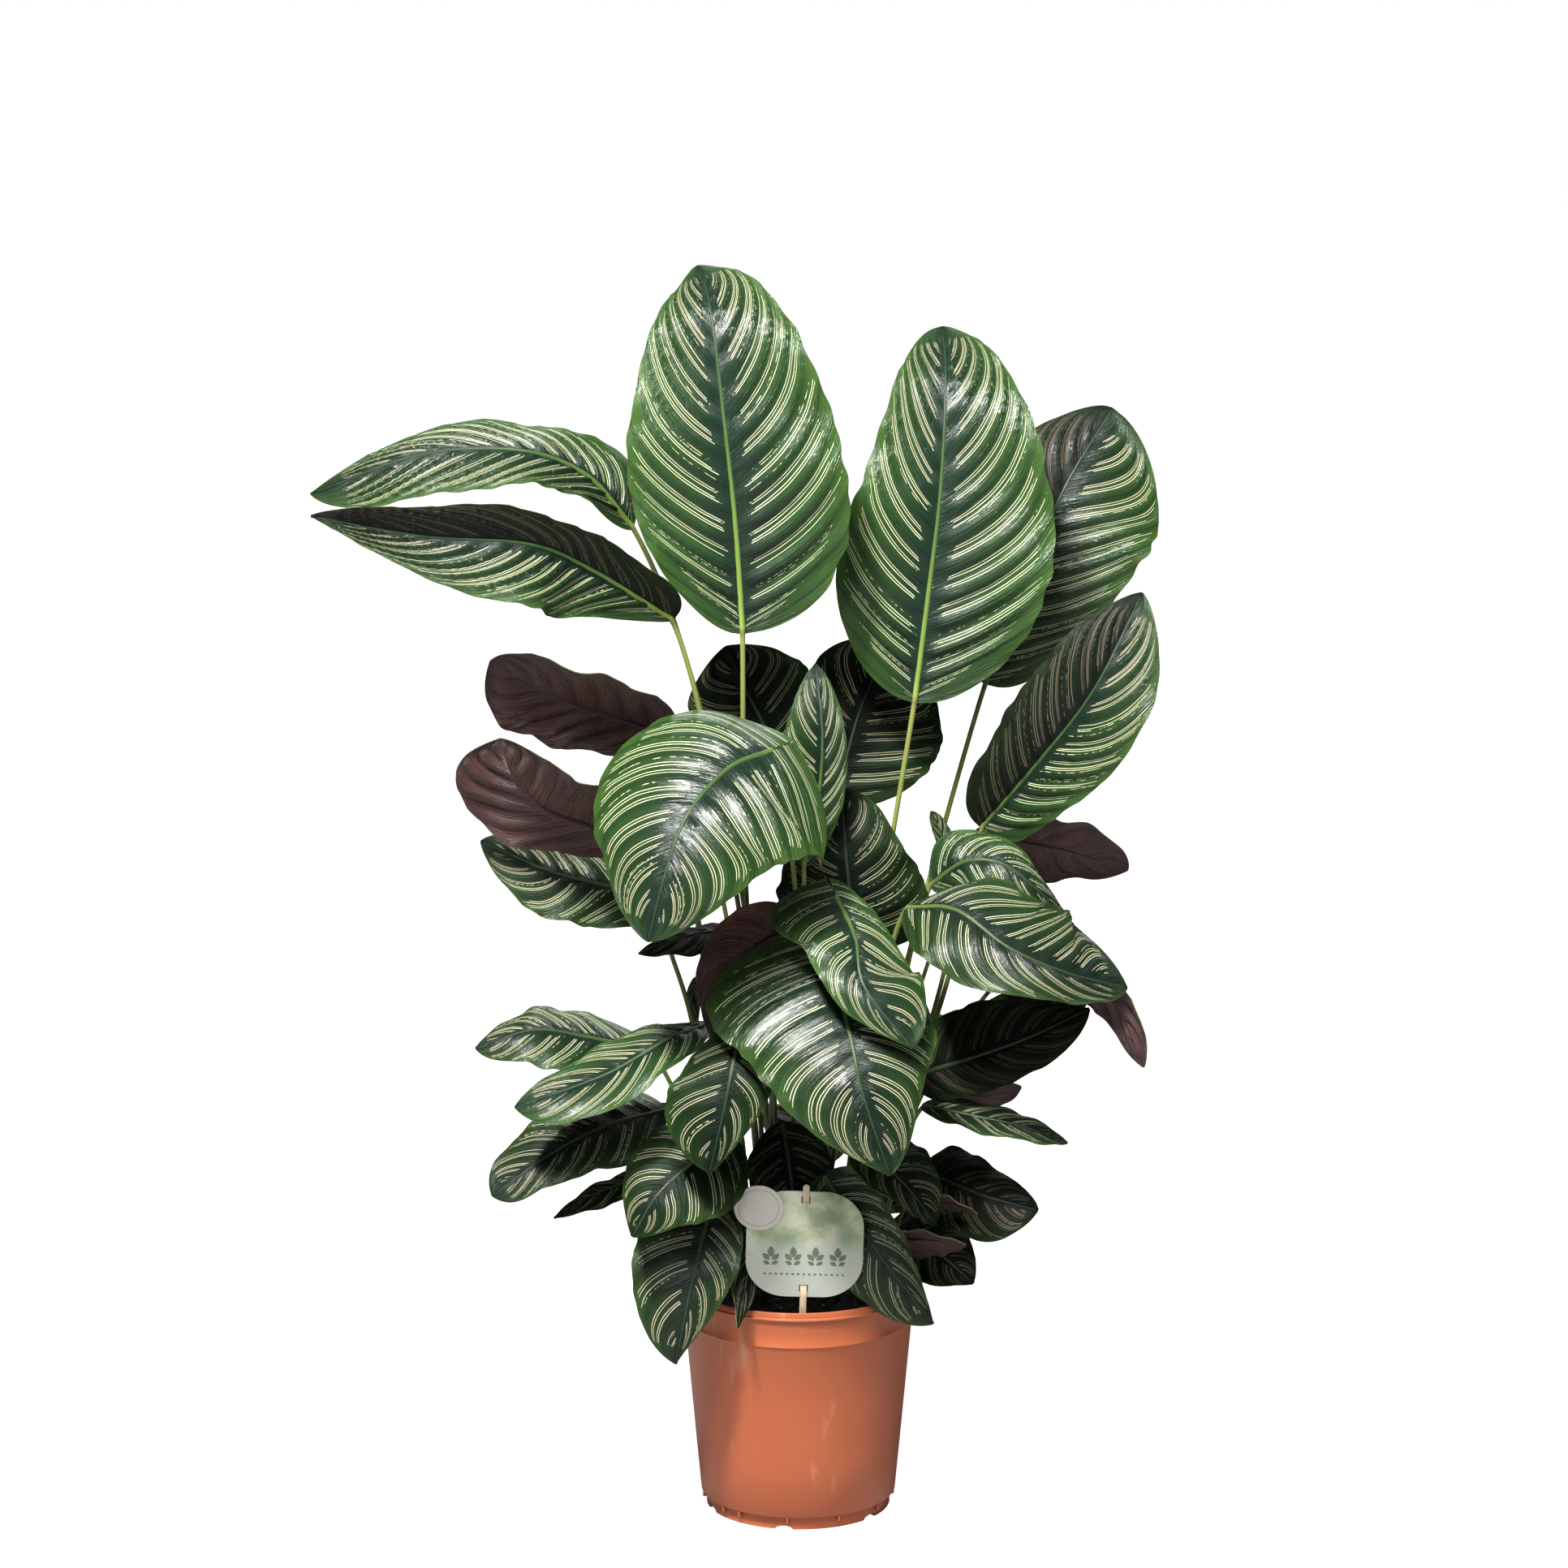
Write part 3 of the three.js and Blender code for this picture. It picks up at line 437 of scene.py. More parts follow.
def set_on_stick(thing):
    lean = Vector((5.5, -106, 278)) * MM
    for point in thing.data.vertices:
        x, y, z = point.co
        tilt = math.radians(9)
        y, z = y * math.cos(tilt) - z * math.sin(tilt), y * math.sin(tilt) + z * math.cos(tilt)
        turn = math.radians(1.5)
        x, z = x * math.cos(turn) + z * math.sin(turn), -x * math.sin(turn) + z * math.cos(turn)
        point.co = Vector((x, y, z)) + lean


def print_map(thing):
    layer = thing.data.uv_layers.new(name="print")
    for loop in thing.data.loops:
        place = thing.data.vertices[loop.vertex_index].co
        layer.data[loop.index].uv = (place.x / MM / CARD_SIDE + 0.5, place.z / MM / CARD_SIDE + 0.5)


def bevel_edges_along_y(thing, offset, segments):
    bpy.context.tool_settings.mesh_select_mode = (False, True, False)
    for part in (*thing.data.polygons, *thing.data.vertices):
        part.select = False
    for edge in thing.data.edges:
        first, second = (thing.data.vertices[i].co for i in edge.vertices)
        edge.select = abs(first.x - second.x) < 1e-6 and abs(first.z - second.z) < 1e-6
    bpy.ops.object.mode_set(mode="EDIT")
    bpy.ops.mesh.bevel(offset=offset * MM, segments=segments, affect="EDGES")
    bpy.ops.object.mode_set(mode="OBJECT")
    bpy.context.tool_settings.mesh_select_mode = (True, False, False)


bpy.ops.mesh.primitive_cube_add(size=1)
card = bpy.context.object
card.name = "plant_label"
card.scale = (CARD_SIDE * MM, CARD_THICK * MM, CARD_SIDE * MM)
bpy.ops.object.transform_apply()
bevel_edges_along_y(card, 36, 18)
bpy.ops.mesh.primitive_cylinder_add(vertices=96, radius=22 * MM, depth=CARD_THICK * MM,
                                    location=(-42 * MM, 0, 35 * MM), rotation=(math.pi / 2, 0, 0))
disc = bpy.context.object
bpy.ops.object.transform_apply()
apply_modifier(card, "BOOLEAN", operation="UNION", solver="EXACT", object=disc)
bpy.data.objects.remove(disc, do_unlink=True)
for side in (-1, 1):
    bpy.ops.mesh.primitive_cube_add(size=1, location=(0, 0, SLOT_AT * side * MM))
    slot = bpy.context.object
    slot.scale = (8 * MM, 4 * MM, SLOT_HIGH * MM)
    bpy.ops.object.transform_apply()
    cut_with(card, slot)
apply_modifier(card, "BEVEL", width=0.12 * MM, segments=2, limit_method="ANGLE",
               angle_limit=math.radians(50))
print_map(card)
set_on_stick(card)
smoothed(card, 35)

label_finish, tree, shader = finish_nodes("printed_card", 0.38)
spot = node("UVMap")
spot.uv_map = "print"
split = node("SeparateXYZ")
tree.links.new(spot.outputs["UV"], split.inputs[0])
across, up = split.outputs[0], split.outputs[1]
haze = grains(3.2, 3, vector=spot.outputs["UV"])
meadow = colour_steps(haze, [(0.34, (0.16, 0.27, 0.10)), (0.46, (0.36, 0.46, 0.25)),
                             (0.56, (0.63, 0.66, 0.47)), (0.70, (0.75, 0.72, 0.62))])
wave_up = scaled(haze, 0.10, up)
colour = blended(fade(wave_up, 0.42, 0.66), (0.56, 0.60, 0.52), meadow)
from_disc_x = minus(across, 0.1)
from_disc_y = minus(up, 0.8333)
reach = sums("SQRT", plus(times(from_disc_x, from_disc_x), times(from_disc_y, from_disc_y)))
on_disc = sums("LESS_THAN", reach, 0.2085)
colour = blended(on_disc, colour, (0.64, 0.60, 0.54))
ring = sums("LESS_THAN", sums("ABSOLUTE", minus(reach, 0.172)), 0.0035)
colour = blended(ring, colour, (0.30, 0.33, 0.25))
fibre = grains(900, 3)
colour = blended(0.08, colour, colour_steps(fibre, [(0.3, (0.2, 0.2, 0.2)), (0.7, (1, 1, 1))]))
painted(colour)
bumps(fibre, 0.00004)
level("Coat Weight", 0.2)
level("Coat Roughness", 0.25)
card.data.materials.append(label_finish)
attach(card, "root")
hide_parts("label_card")


def ink_leaf(x, z, length, turn, width=0.30):
    bpy.ops.mesh.primitive_circle_add(vertices=20, radius=1, fill_type="NGON", rotation=(math.pi / 2, 0, 0))
    made = bpy.context.object
    bpy.ops.object.transform_apply()
    for point in made.data.vertices:
        along = point.co.x
        point.co = Vector((along * 0.5, 0, point.co.z * width * (1 - abs(along)) ** 0.35))
    for point in made.data.vertices:
        along, wide = point.co.x * length, point.co.z * length
        c, s = math.cos(turn), math.sin(turn)
        point.co = Vector((x + along * c - wide * s, -0.46, z + along * s + wide * c)) * MM
    return made


marks = []
for x in (-30, -10, 10, 30):
    for row, (turn, length) in enumerate(((1.57, 11), (0.75, 9), (2.39, 9), (0.5, 7), (2.64, 7))):
        rise = (8, 3, 3, -3, -3)[row]
        slide = (0, 4.2, -4.2, 3.8, -3.8)[row]
        marks.append(ink_leaf(x + slide, -16 + rise, length, turn))
for i in range(15):
    marks.append(ink_leaf(-35 + i * 5, -30, 3.0, 0.6 if i % 2 else -0.6, 0.4))
sprigs = joined(marks, marks[0], "label_print")
edit_all()
bpy.ops.mesh.extrude_region_move(TRANSFORM_OT_translate={"value": (0, 0.05 * MM, 0)})
face_outwards()
set_on_stick(sprigs)
ink, tree, shader = finish_nodes("green_grey_ink", 0.4)
press = grains(500, 3)
colour = colour_steps(press, [(0.3, (0.13, 0.17, 0.11)), (0.7, (0.20, 0.25, 0.17))])
painted(colour)
sprigs.data.materials.append(ink)
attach(sprigs, "root")
bpy.ops.object.select_all(action="DESELECT")

bpy.ops.mesh.primitive_cube_add(size=1)
stick = bpy.context.object
stick.name = "wooden_stick"
stick.scale = (6 * MM, 1.8 * MM, STICK_LONG * MM)
bpy.ops.object.transform_apply()
bevel_edges_along_y(stick, 2.8, 6)
for cut in range(1, 40):
    edit_all()
    bpy.ops.mesh.bisect(plane_co=(0, 0, (4 * cut - STICK_LONG / 2) * MM), plane_no=(0, 0, 1))
    bpy.ops.object.mode_set(mode="OBJECT")
for point in stick.data.vertices:
    z = point.co.z / MM - 20
    behind = min(1, max(0, (SLOT_AT + SLOT_HIGH / 2 - abs(z)) / SLOT_HIGH))
    point.co.z = z * MM
    point.co.y += (-1.7 + 3.4 * behind) * MM
apply_modifier(stick, "BEVEL", width=0.3 * MM, segments=2, limit_method="ANGLE",
               angle_limit=math.radians(50))
set_on_stick(stick)
smoothed(stick, 35)
wood, tree, shader = finish_nodes("pale_wood", 0.6)
grain = grains(600, 5, stretch=(1, 1, 0.06))
bands = grains(160, 2, stretch=(1, 1, 0.1))
colour = colour_steps(bands, [(0.3, (0.66, 0.50, 0.33)), (0.7, (0.80, 0.67, 0.49))])
colour = blended(fade(grain, 0.5, 0.75), colour, (0.45, 0.30, 0.17))
painted(colour)
bumps(grain, 0.0002)
stick.data.materials.append(wood)
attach(stick, "root")
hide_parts("label_stick")
bpy.ops.object.select_all(action="DESELECT")


# The leaves: broad blades on long stalks that rise straight out of the soil, one stalk to a leaf. Each is
# dark green and glossy with cream hairlines in pairs above, and purple brown and dull beneath. Lengths
# are in millimetres and angles in degrees. Dark is painted shade: how much shade a leaf stands in,
# from 0 to 1, darkening its colour.
BLADE_THICK = 0.8
STALK_FOOT = 184
STALK_NECK = 212
STALK_STEPS = 43
RIB_STEPS = 49


def both(value):
    return value if isinstance(value, tuple) else (value, value)


def grown(name, root, via, rib, face, left, right=None, fold=4, curl=14, wave=2, lobe=4, tip=0.7, lime=0.25,
          dark=0):
    """One leaf: root and via place its stalk, rib its midrib, face is where its upper side looks."""
    return dict(name="leaf_" + name, root=root, via=via, rib_points=[Vector(point) for point in rib],
                face=face, widths=(left, right or left), folds=both(fold), curl=curl, wave=wave, lobe=lobe,
                tip=tip, lime=lime, darks=both(dark))


LEAVES = [
    grown("tall_left", (-12, 0), [(-46, -12, 560)],
        [(-50, -20, 824), (-56, -17, 916), (-66, 0, 1008), (-78, 40, 1098), (-90, 104, 1128)],
        face=(0.05, -1, 0.15), left=(58, 90, 72, 30), right=(86, 104, 81, 39), fold=8, curl=10, wave=4,
        lobe=6, tip=0.5, lime=1),
    grown("tall_right", (14, 14), [(60, 28, 470)],
        [(105, 40, 747), (116, 42, 838), (127, 56, 932), (132, 95, 1024), (130, 161, 1062)],
        face=(-0.05, -1, 0.15), left=(66, 83, 60, 35), right=(76, 107, 86, 39), fold=8, curl=10, wave=4,
        lobe=6, tip=0.5, lime=1),
    grown("back_right", (30, 36), [(95, 90, 470)],
        [(172, 150, 736), (205, 162, 814), (240, 180, 903), (288, 226, 974)], face=(-0.1, -1, 0.1),
        left=(45, 68, 70, 42), right=(45, 75, 97, 72), fold=6, curl=12, wave=4, tip=0.5, dark=(0.96, 0.1)),
    grown("right_striped", (40, 4), [(132, 40, 470)],
        [(167, 40, 627), (214, -9, 698), (262, -29, 769), (306, 1, 851)], face=(-0.35, -0.85, 0.3),
        left=(36, 50, 54, 32), right=(38, 54, 60, 36), fold=(44, 12), curl=12, wave=3, dark=(0.9, 0)),
    grown("right_underside", (52, 14), [(128, 48, 470)],
        [(162, 54, 617), (205, 58, 607), (250, 72, 594), (300, 94, 571)], face=(0.1, 0.8, 0.6),
        left=(25, 42, 44, 26), right=(28, 54, 52, 28), fold=12, curl=20, wave=4),
    grown("front_left_big", (0, -14), [(2, -34, 520)],
        [(-25, -95, 730), (-62, -128, 722), (-97, -165, 690), (-116, -190, 645), (-132, -205, 585)],
        face=(-0.2, -0.8, 0.6), left=(112, 104, 85, 46), right=(84, 112, 92, 50), curl=22, lobe=30),
    grown("upper_left_a", (-20, 20), [(-50, 34, 560), (-112, 38, 818)],
        [(-149, 12, 910), (-188, -8, 960), (-246, -28, 986), (-333, -38, 984), (-431, -33, 948)],
        face=(-0.05, -0.6, 0.8), left=(16, 28, 40, 36), right=(56, 48, 41, 22), fold=-4, curl=8, wave=4,
        lime=0.5),
    grown("upper_left_b", (-26, 6), [(-54, 8, 560)],
        [(-114, -16, 832), (-182, -54, 884), (-237, -84, 914), (-330, -94, 923), (-428, -76, 937)],
        face=(-0.05, -0.75, 0.65), left=(26, 57, 50, 18), right=(32, 32, 36, 22), fold=(-8, 70), curl=6,
        wave=4, lime=0.8, dark=(0, 0.95)),
    grown("left_underside_upper", (-42, 22), [(-88, 44, 520)],
        [(-112, 4, 720), (-173, -24, 746), (-223, -40, 770), (-274, -35, 797)], face=(0.15, 0.85, 0.5),
        left=(38, 58, 52, 34), right=(34, 50, 54, 50), fold=8, curl=18, wave=4),
    grown("left_underside_lower", (-50, -14), [(-98, -20, 470), (-120, -18, 545)],
        [(-128, -1, 613), (-188, -28, 645), (-227, -48, 666), (-253, -62, 700), (-264, -68, 735)],
        face=(0.25, 0.8, 0.5), left=(54, 78, 68, 38), right=(28, 54, 60, 46), fold=8, curl=16, wave=3),
    grown("left_striped_low", (-52, 2), [(-78, 14, 430)],
        [(-98, 26, 557), (-180, 10, 581), (-228, 0, 597), (-285, -4, 624)], face=(-0.1, -0.65, 0.75),
        left=(28, 44, 44, 24), right=(34, 44, 40, 24), wave=3, dark=0.45),
    grown("back_dark", (-6, 34), [(-4, 48, 430)],
        [(-5, 50, 645), (-28, 72, 705), (-48, 90, 742), (-66, 120, 775)], face=(0, -0.95, 0.3),
        left=(36, 56, 60, 38), right=(42, 58, 60, 38), fold=8, wave=3, dark=0.8),
    grown("small_upright", (10, -2), [(14, -24, 440)],
        [(5, -48, 615), (18, -48, 680), (21, -38, 735), (15, -10, 788)], face=(0.05, -1, 0.1),
        left=(20, 37, 36, 19), right=(16, 23, 21, 13), fold=14, curl=10, lime=0.6),
    grown("back_centre", (12, 30), [(24, 40, 440)],
        [(34, 62, 646), (45, 80, 686), (58, 102, 725), (85, 146, 775)], face=(0, -0.95, 0.35),
        left=(30, 46, 56, 48), right=(50, 76, 82, 56), fold=8, wave=3, dark=0.72),
    grown("centre_dark", (20, -12), [(38, -14, 400)],
        [(45, -20, 527), (46, -34, 577), (42, -36, 625), (38, -10, 675)], face=(0, -1, 0.15),
        left=(48, 66, 56, 30), right=(62, 70, 54, 34), fold=8, curl=12, wave=3, dark=0.8),
    grown("centre_front_upper", (8, -32), [(18, -44, 440)],
        [(34, -80, 592), (50, -128, 568), (58, -165, 533), (100, -190, 484)], face=(0.25, -0.8, 0.55),
        left=(26, 42, 58, 46), right=(64, 52, 34, 14), fold=3, lobe=28),
    grown("right_big", (36, -22), [(62, -30, 440)],
        [(98, -46, 574), (140, -86, 582), (187, -116, 555), (240, -121, 533), (292, -101, 515)],
        face=(0.1, -0.6, 0.8), left=(48, 74, 84, 82), right=(42, 58, 38, 22), fold=3, curl=16, wave=3,
        lime=0.5, dark=0.4),
    grown("right_arching", (52, -2), [(86, 6, 440)],
        [(120, 6, 582), (150, -10, 607), (184, -22, 607), (218, -27, 581), (248, -8, 547)],
        face=(0.15, -0.7, 0.7), left=(38, 36, 22, 8), right=(26, 36, 26, 12), fold=0, dark=0.2),
    grown("small_silver", (42, 22), [(100, 40, 440)], [(140, 50, 580), (131, 54, 610), (120, 58, 636)],
        face=(0.6, -0.8, 0.1), left=(5, 9, 9, 6), right=(6, 10, 10, 7), fold=14, curl=0, wave=0),
    grown("front_centre_big", (25, -44), [(25, -42, 330)],
        [(30, -112, 535), (45, -165, 490), (56, -195, 445), (80, -208, 373)], face=(0.05, -0.85, 0.5),
        left=(58, 78, 66, 36), right=(118, 96, 73, 32), fold=3, lobe=50, dark=0.14),
    grown("right_black", (60, -12), [(84, -12, 330)],
        [(105, -14, 408), (155, -32, 430), (206, -36, 450), (262, -18, 472)], face=(0.05, -0.85, 0.5),
        left=(42, 50, 42, 18), right=(28, 34, 32, 20), curl=12, wave=3, dark=1),
    grown("right_behind_black", (64, 18), [(95, 24, 330)],
        [(125, 30, 416), (170, 25, 438), (215, 21, 456), (262, 24, 468)], face=(0, -0.7, 0.7),
        left=(26, 34, 30, 18), right=(20, 28, 26, 16), wave=3, dark=1),
    grown("right_pink_low", (70, 4), [(90, 14, 310)],
        [(110, 16, 389), (140, 8, 387), (170, 0, 385), (202, 2, 393)], face=(0, 0.75, 0.65),
        left=(16, 26, 24, 15), right=(16, 28, 26, 16), fold=8),
    grown("right_droop_underside", (56, 34), [(130, 68, 400)],
        [(206, 52, 498), (246, 46, 488), (288, 38, 460), (314, 30, 403)], face=(0.6, 0.6, 0.55),
        left=(20, 34, 32, 18), right=(20, 36, 38, 24), fold=8, dark=0.4),
    grown("right_low_narrow", (54, -28), [(84, -30, 320)],
        [(114, -32, 385), (160, -52, 381), (203, -62, 374), (242, -58, 358)], face=(0.05, -0.25, 0.97),
        left=(20, 22, 20, 13), right=(18, 28, 28, 16), fold=14, curl=10, dark=0.65),
    grown("low_right", (82, 0), [(95, 2, 262)],
        [(110, 0, 312), (132, -16, 310), (170, -40, 302), (216, -56, 294)], face=(0.3, -0.8, 0.5),
        left=(36, 40, 33, 19), right=(20, 36, 43, 30), wave=3, dark=0.95),
    grown("low_right_dark", (70, -22), [(76, -22, 235)],
        [(84, -16, 264), (110, -22, 256), (136, -38, 240), (158, -48, 222)], face=(0.3, -0.85, 0.4),
        left=(22, 37, 33, 17), right=(18, 34, 32, 14), curl=10, dark=0.95),
    grown("low_pink_a", (72, -34), [(86, -38, 262)],
        [(100, -46, 300), (120, -56, 304), (140, -64, 303), (161, -70, 295)], face=(0.3, 0.6, 0.75),
        left=(12, 18, 15, 8), right=(10, 16, 13, 7), fold=6, curl=10),
    grown("low_pink_b", (52, -58), [(62, -56, 236)],
        [(76, -52, 262), (100, -64, 270), (125, -78, 273), (150, -88, 272)], face=(0.3, 0.6, 0.75),
        left=(22, 30, 25, 14), right=(14, 24, 24, 13), fold=6),
    grown("low_right_glossy", (36, -46), [(42, -52, 290)],
        [(50, -64, 360), (75, -95, 350), (100, -115, 330), (122, -122, 302)], face=(0.25, -0.75, 0.6),
        left=(30, 40, 36, 20), right=(16, 26, 20, 11), fold=10, curl=12, dark=0.85),
    grown("over_rim_right", (28, -60), [(31, -74, 280)],
        [(24, -80, 332), (44, -88, 303), (79, -96, 256), (121, -106, 203)], face=(-0.35, -0.9, 0.25),
        left=(30, 33, 28, 12), right=(34, 48, 46, 30), fold=3, curl=8, dark=0.3),
    grown("behind_label", (-2, -34), [(-8, -34, 300)],
        [(-14, -40, 369), (-9, -58, 343), (-4, -66, 306), (0, -68, 266)], face=(0, -0.9, 0.4),
        left=(24, 38, 36, 22), curl=8, dark=0.9),
    grown("over_rim_left", (-46, -52), [(-58, -64, 262)],
        [(-76, -77, 311), (-86, -102, 282), (-97, -120, 238), (-110, -127, 172)], face=(-0.1, -0.9, 0.4),
        left=(28, 38, 34, 13), right=(33, 56, 56, 36), fold=6, curl=8, dark=0.5),
    grown("left_third", (-40, -38), [(-50, -48, 300)],
        [(-60, -76, 370), (-92, -112, 358), (-125, -136, 334), (-148, -148, 298)], face=(-0.2, -0.85, 0.5),
        left=(38, 54, 47, 23), right=(42, 50, 43, 20), fold=3, curl=12, dark=0.55),
    grown("left_second", (-30, -32), [(-40, -46, 360)],
        [(-50, -102, 483), (-58, -144, 457), (-66, -164, 420), (-79, -174, 365)], face=(-0.05, -0.85, 0.5),
        left=(24, 38, 33, 15), right=(26, 42, 54, 42), fold=3, curl=12, dark=0.6),
    grown("far_left_top", (-62, 4), [(-96, -4, 350)],
        [(-135, -14, 432), (-190, -34, 450), (-238, -46, 460), (-290, -46, 443)], face=(-0.1, -0.5, 0.87),
        left=(26, 44, 40, 24), right=(34, 42, 36, 20), fold=3, wave=3, dark=0.3),
    grown("left_glossy", (-42, -24), [(-54, -38, 370)],
        [(-80, -60, 470), (-116, -95, 466), (-172, -120, 440), (-252, -132, 413)], face=(-0.2, -0.4, 0.9),
        left=(18, 30, 40, 38), right=(22, 36, 46, 30), fold=5, curl=12),
    grown("left_low_dark", (-58, -20), [(-84, -28, 320)],
        [(-120, -42, 384), (-176, -75, 378), (-226, -95, 356), (-274, -106, 323)], face=(-0.25, -0.6, 0.75),
        left=(28, 44, 33, 23), right=(54, 60, 46, 36), fold=3, curl=12, wave=3, dark=0.5),
    grown("left_small", (-72, -8), [(-94, -20, 285)],
        [(-124, -34, 325), (-155, -50, 319), (-187, -60, 309), (-220, -66, 290)], face=(-0.1, -0.5, 0.85),
        left=(12, 18, 17, 8), right=(8, 13, 12, 6), fold=3, curl=10, dark=0.7),
    grown("left_edge_on", (-18, -8), [(-22, -14, 400)],
        [(-34, -26, 544), (-70, -42, 551), (-106, -54, 548), (-143, -64, 536)], face=(0, -0.15, 1),
        left=(20, 32, 30, 16), right=(20, 28, 26, 14), dark=0.85),
    grown("centre_underside", (-20, -24), [(-24, -30, 400)],
        [(-4, -50, 556), (-36, -72, 546), (-66, -87, 514), (-76, -95, 464)], face=(0.35, 0.85, 0.2),
        left=(30, 40, 30, 13), right=(30, 36, 30, 15), wave=3, dark=0.6),
    grown("left_sliver", (-32, -4), [(-44, 4, 398)],
        [(-78, 8, 499), (-92, 0, 489), (-97, -4, 470), (-95, -4, 448)], face=(-0.8, -0.5, 0.3),
        left=(7, 13, 13, 9), right=(10, 13, 10, 6), curl=10, wave=0, dark=0.6),
    grown("over_rim_centre", (-32, -48), [(-31, -44, 262)],
        [(-30, -42, 296), (-38, -68, 276), (-46, -96, 244), (-54, -126, 206)], face=(0.7, -0.7, 0.2),
        left=(34, 44, 26, 8), right=(30, 36, 24, 9), curl=8, dark=0.8),
    grown("back_left", (-30, 36), [(-50, 66, 420)],
        [(-72, 92, 556), (-108, 140, 600), (-146, 188, 612), (-184, 220, 596)], face=(-0.4, 0.55, 0.75),
        left=(40, 60, 54, 30), fold=6, wave=3, dark=0.3),
    grown("back_middle", (4, 48), [(8, 84, 360)],
        [(12, 112, 470), (20, 162, 500), (30, 218, 490), (36, 268, 440)], face=(0.1, 0.5, 0.85),
        left=(44, 66, 60, 32), fold=6, wave=3, dark=0.3),
    grown("back_right_low", (42, 44), [(56, 66, 310)],
        [(72, 90, 398), (112, 140, 412), (152, 186, 402), (190, 216, 358)], face=(0.45, 0.4, 0.8),
        left=(32, 50, 46, 24), fold=6, wave=3),
    grown("back_left_low", (-46, 46), [(-48, 62, 280)],
        [(-54, 82, 330), (-90, 126, 346), (-126, 166, 326), (-152, 192, 276)], face=(-0.5, 0.35, 0.8),
        left=(32, 46, 42, 22), fold=6, wave=3),
    grown("back_middle_low", (-8, 66), [(-2, 74, 260)],
        [(4, 88, 306), (14, 136, 332), (20, 188, 312), (26, 232, 250)], face=(0.1, 0.5, 0.85),
        left=(36, 54, 48, 26), fold=6, wave=3),
    grown("back_right_small", (62, 46), [(66, 54, 230)],
        [(74, 66, 258), (106, 98, 272), (136, 128, 252), (156, 148, 208)], face=(0.5, 0.4, 0.75),
        left=(24, 36, 32, 17), fold=6),
]


def curve_at(points, share, ease):
    last = len(points) - 1
    place = min(max(share, 0.0), 1.0) * last
    i = min(int(place), last - 1)
    u = place - i
    first, second = points[i], points[i + 1]
    before = points[i - 1] if i > 0 else 2 * first - second
    after = points[i + 2] if i + 2 <= last else 2 * second - first
    a, b, c = ((q - p).length ** ease for p, q in ((before, first), (first, second), (second, after)))
    leave = ((first - before) / a - (second - before) / (a + b) + (second - first) / b) * b
    arrive = ((second - first) / b - (after - first) / (b + c) + (after - second) / c) * b
    turn = 3 * (second - first) - 2 * leave - arrive
    ease_out = 2 * (first - second) + leave + arrive
    point = first + leave * u + turn * u ** 2 + ease_out * u ** 3
    slope = leave + 2 * turn * u + 3 * ease_out * u ** 2
    return point, slope.normalized()


def half_width(widths, t, point):
    def ends(s):
        return math.sqrt(s) * (1 - s) ** point

    stations = (0.12, 0.37, 0.62, 0.87)
    total = 0
    for i, station in enumerate(stations):
        part = widths[i] / ends(station)
        for j, other in enumerate(stations):
            if j != i:
                part *= (t - other) / (station - other)
        total += part
    return max(1.5, total * ends(min(max(t, 0), 1)))


def soften(value, low, high):
    share = min(1, max(0, (value - low) / (high - low)))
    return share * share * (3 - 2 * share)


def vein_place(leaf, t, across):
    reach = abs(across)
    behind = leaf["lobe"] / leaf["length"] * reach ** 2 * (1 - t) ** 4
    start = (t - behind - 0.075 * reach - 0.11 * reach ** 3) / (1 + 0.27 * reach)
    side = 0.5 if across > 0 else 0
    return start, start * leaf["veins"] + side + leaf["seed"] * 40 + 12


def rib_surface(leaf, t):
    middle, along = curve_at(leaf["rib_points"], t, 0)
    face = Vector(leaf["face"])
    return middle, along, (face - along * face.dot(along)).normalized()


def blade_point(leaf, t, across):
    middle, along, up = rib_surface(leaf, t)
    side = along.cross(up)
    hand = (across > 0) - (across < 0)
    reach = abs(across)
    start, phase = vein_place(leaf, t, across)
    half = int(across >= 0)
    width = half_width(leaf["widths"][half], t, leaf["tip"])
    scallop = 0.010 * math.sin(2 * math.pi * (phase - 0.1)) * soften(reach, 0.6, 1) * math.sin(math.pi * t)
    slow = 0.036 * noise.noise(Vector((leaf["seed"] * 7.3 + hand * 3, t * 5.5, 0.4))) * soften(reach, 0.3, 1)
    slow += 0.034 * noise.noise(Vector((leaf["seed"] * 5.1 + hand * 2, t * 17, 0.8))) * soften(reach, 0.6, 1)
    width *= 1 + scallop + slow * (1 - t) ** 0.3
    fold = math.radians(leaf["folds"][half])
    turn = math.radians(leaf["curl"]) * reach
    chord = 1 if turn == 0 else math.sin(turn) / turn
    out = width * reach * chord * math.cos(fold - turn)
    ripple = leaf["wave"] * reach ** 2 * math.sin(2 * math.pi * (3.2 * t + 0.3 * across))
    ripple *= math.sin(math.pi * t)
    edge = noise.noise(Vector((leaf["seed"] * 3.7, t * 14, hand * 2.5)))
    ripple += 3.2 * leaf["size"] * edge * soften(reach, 0.72, 1.0) * math.sin(math.pi * t) ** 0.6
    from_vein = phase - round(phase)
    from_vein /= 0.44 if from_vein > 0 else -0.27
    pleat = max(0, 1 - from_vein) ** 1.3 - 0.25
    pleat *= soften(reach, 0.03, 0.17) * (1 - 0.72 * soften(reach, 0.72, 1.0))
    pleat *= soften(start, 0.0, 0.06) * (1 - soften(t, 0.86, 0.98))
    ripple += leaf["pleat"] * leaf["size"] * pleat
    lift = width * reach * chord * math.sin(fold - turn) + ripple
    back = leaf["lobe"] * reach ** 2 * (1 - t) ** 4
    return middle + side * hand * out + up * lift - along * back


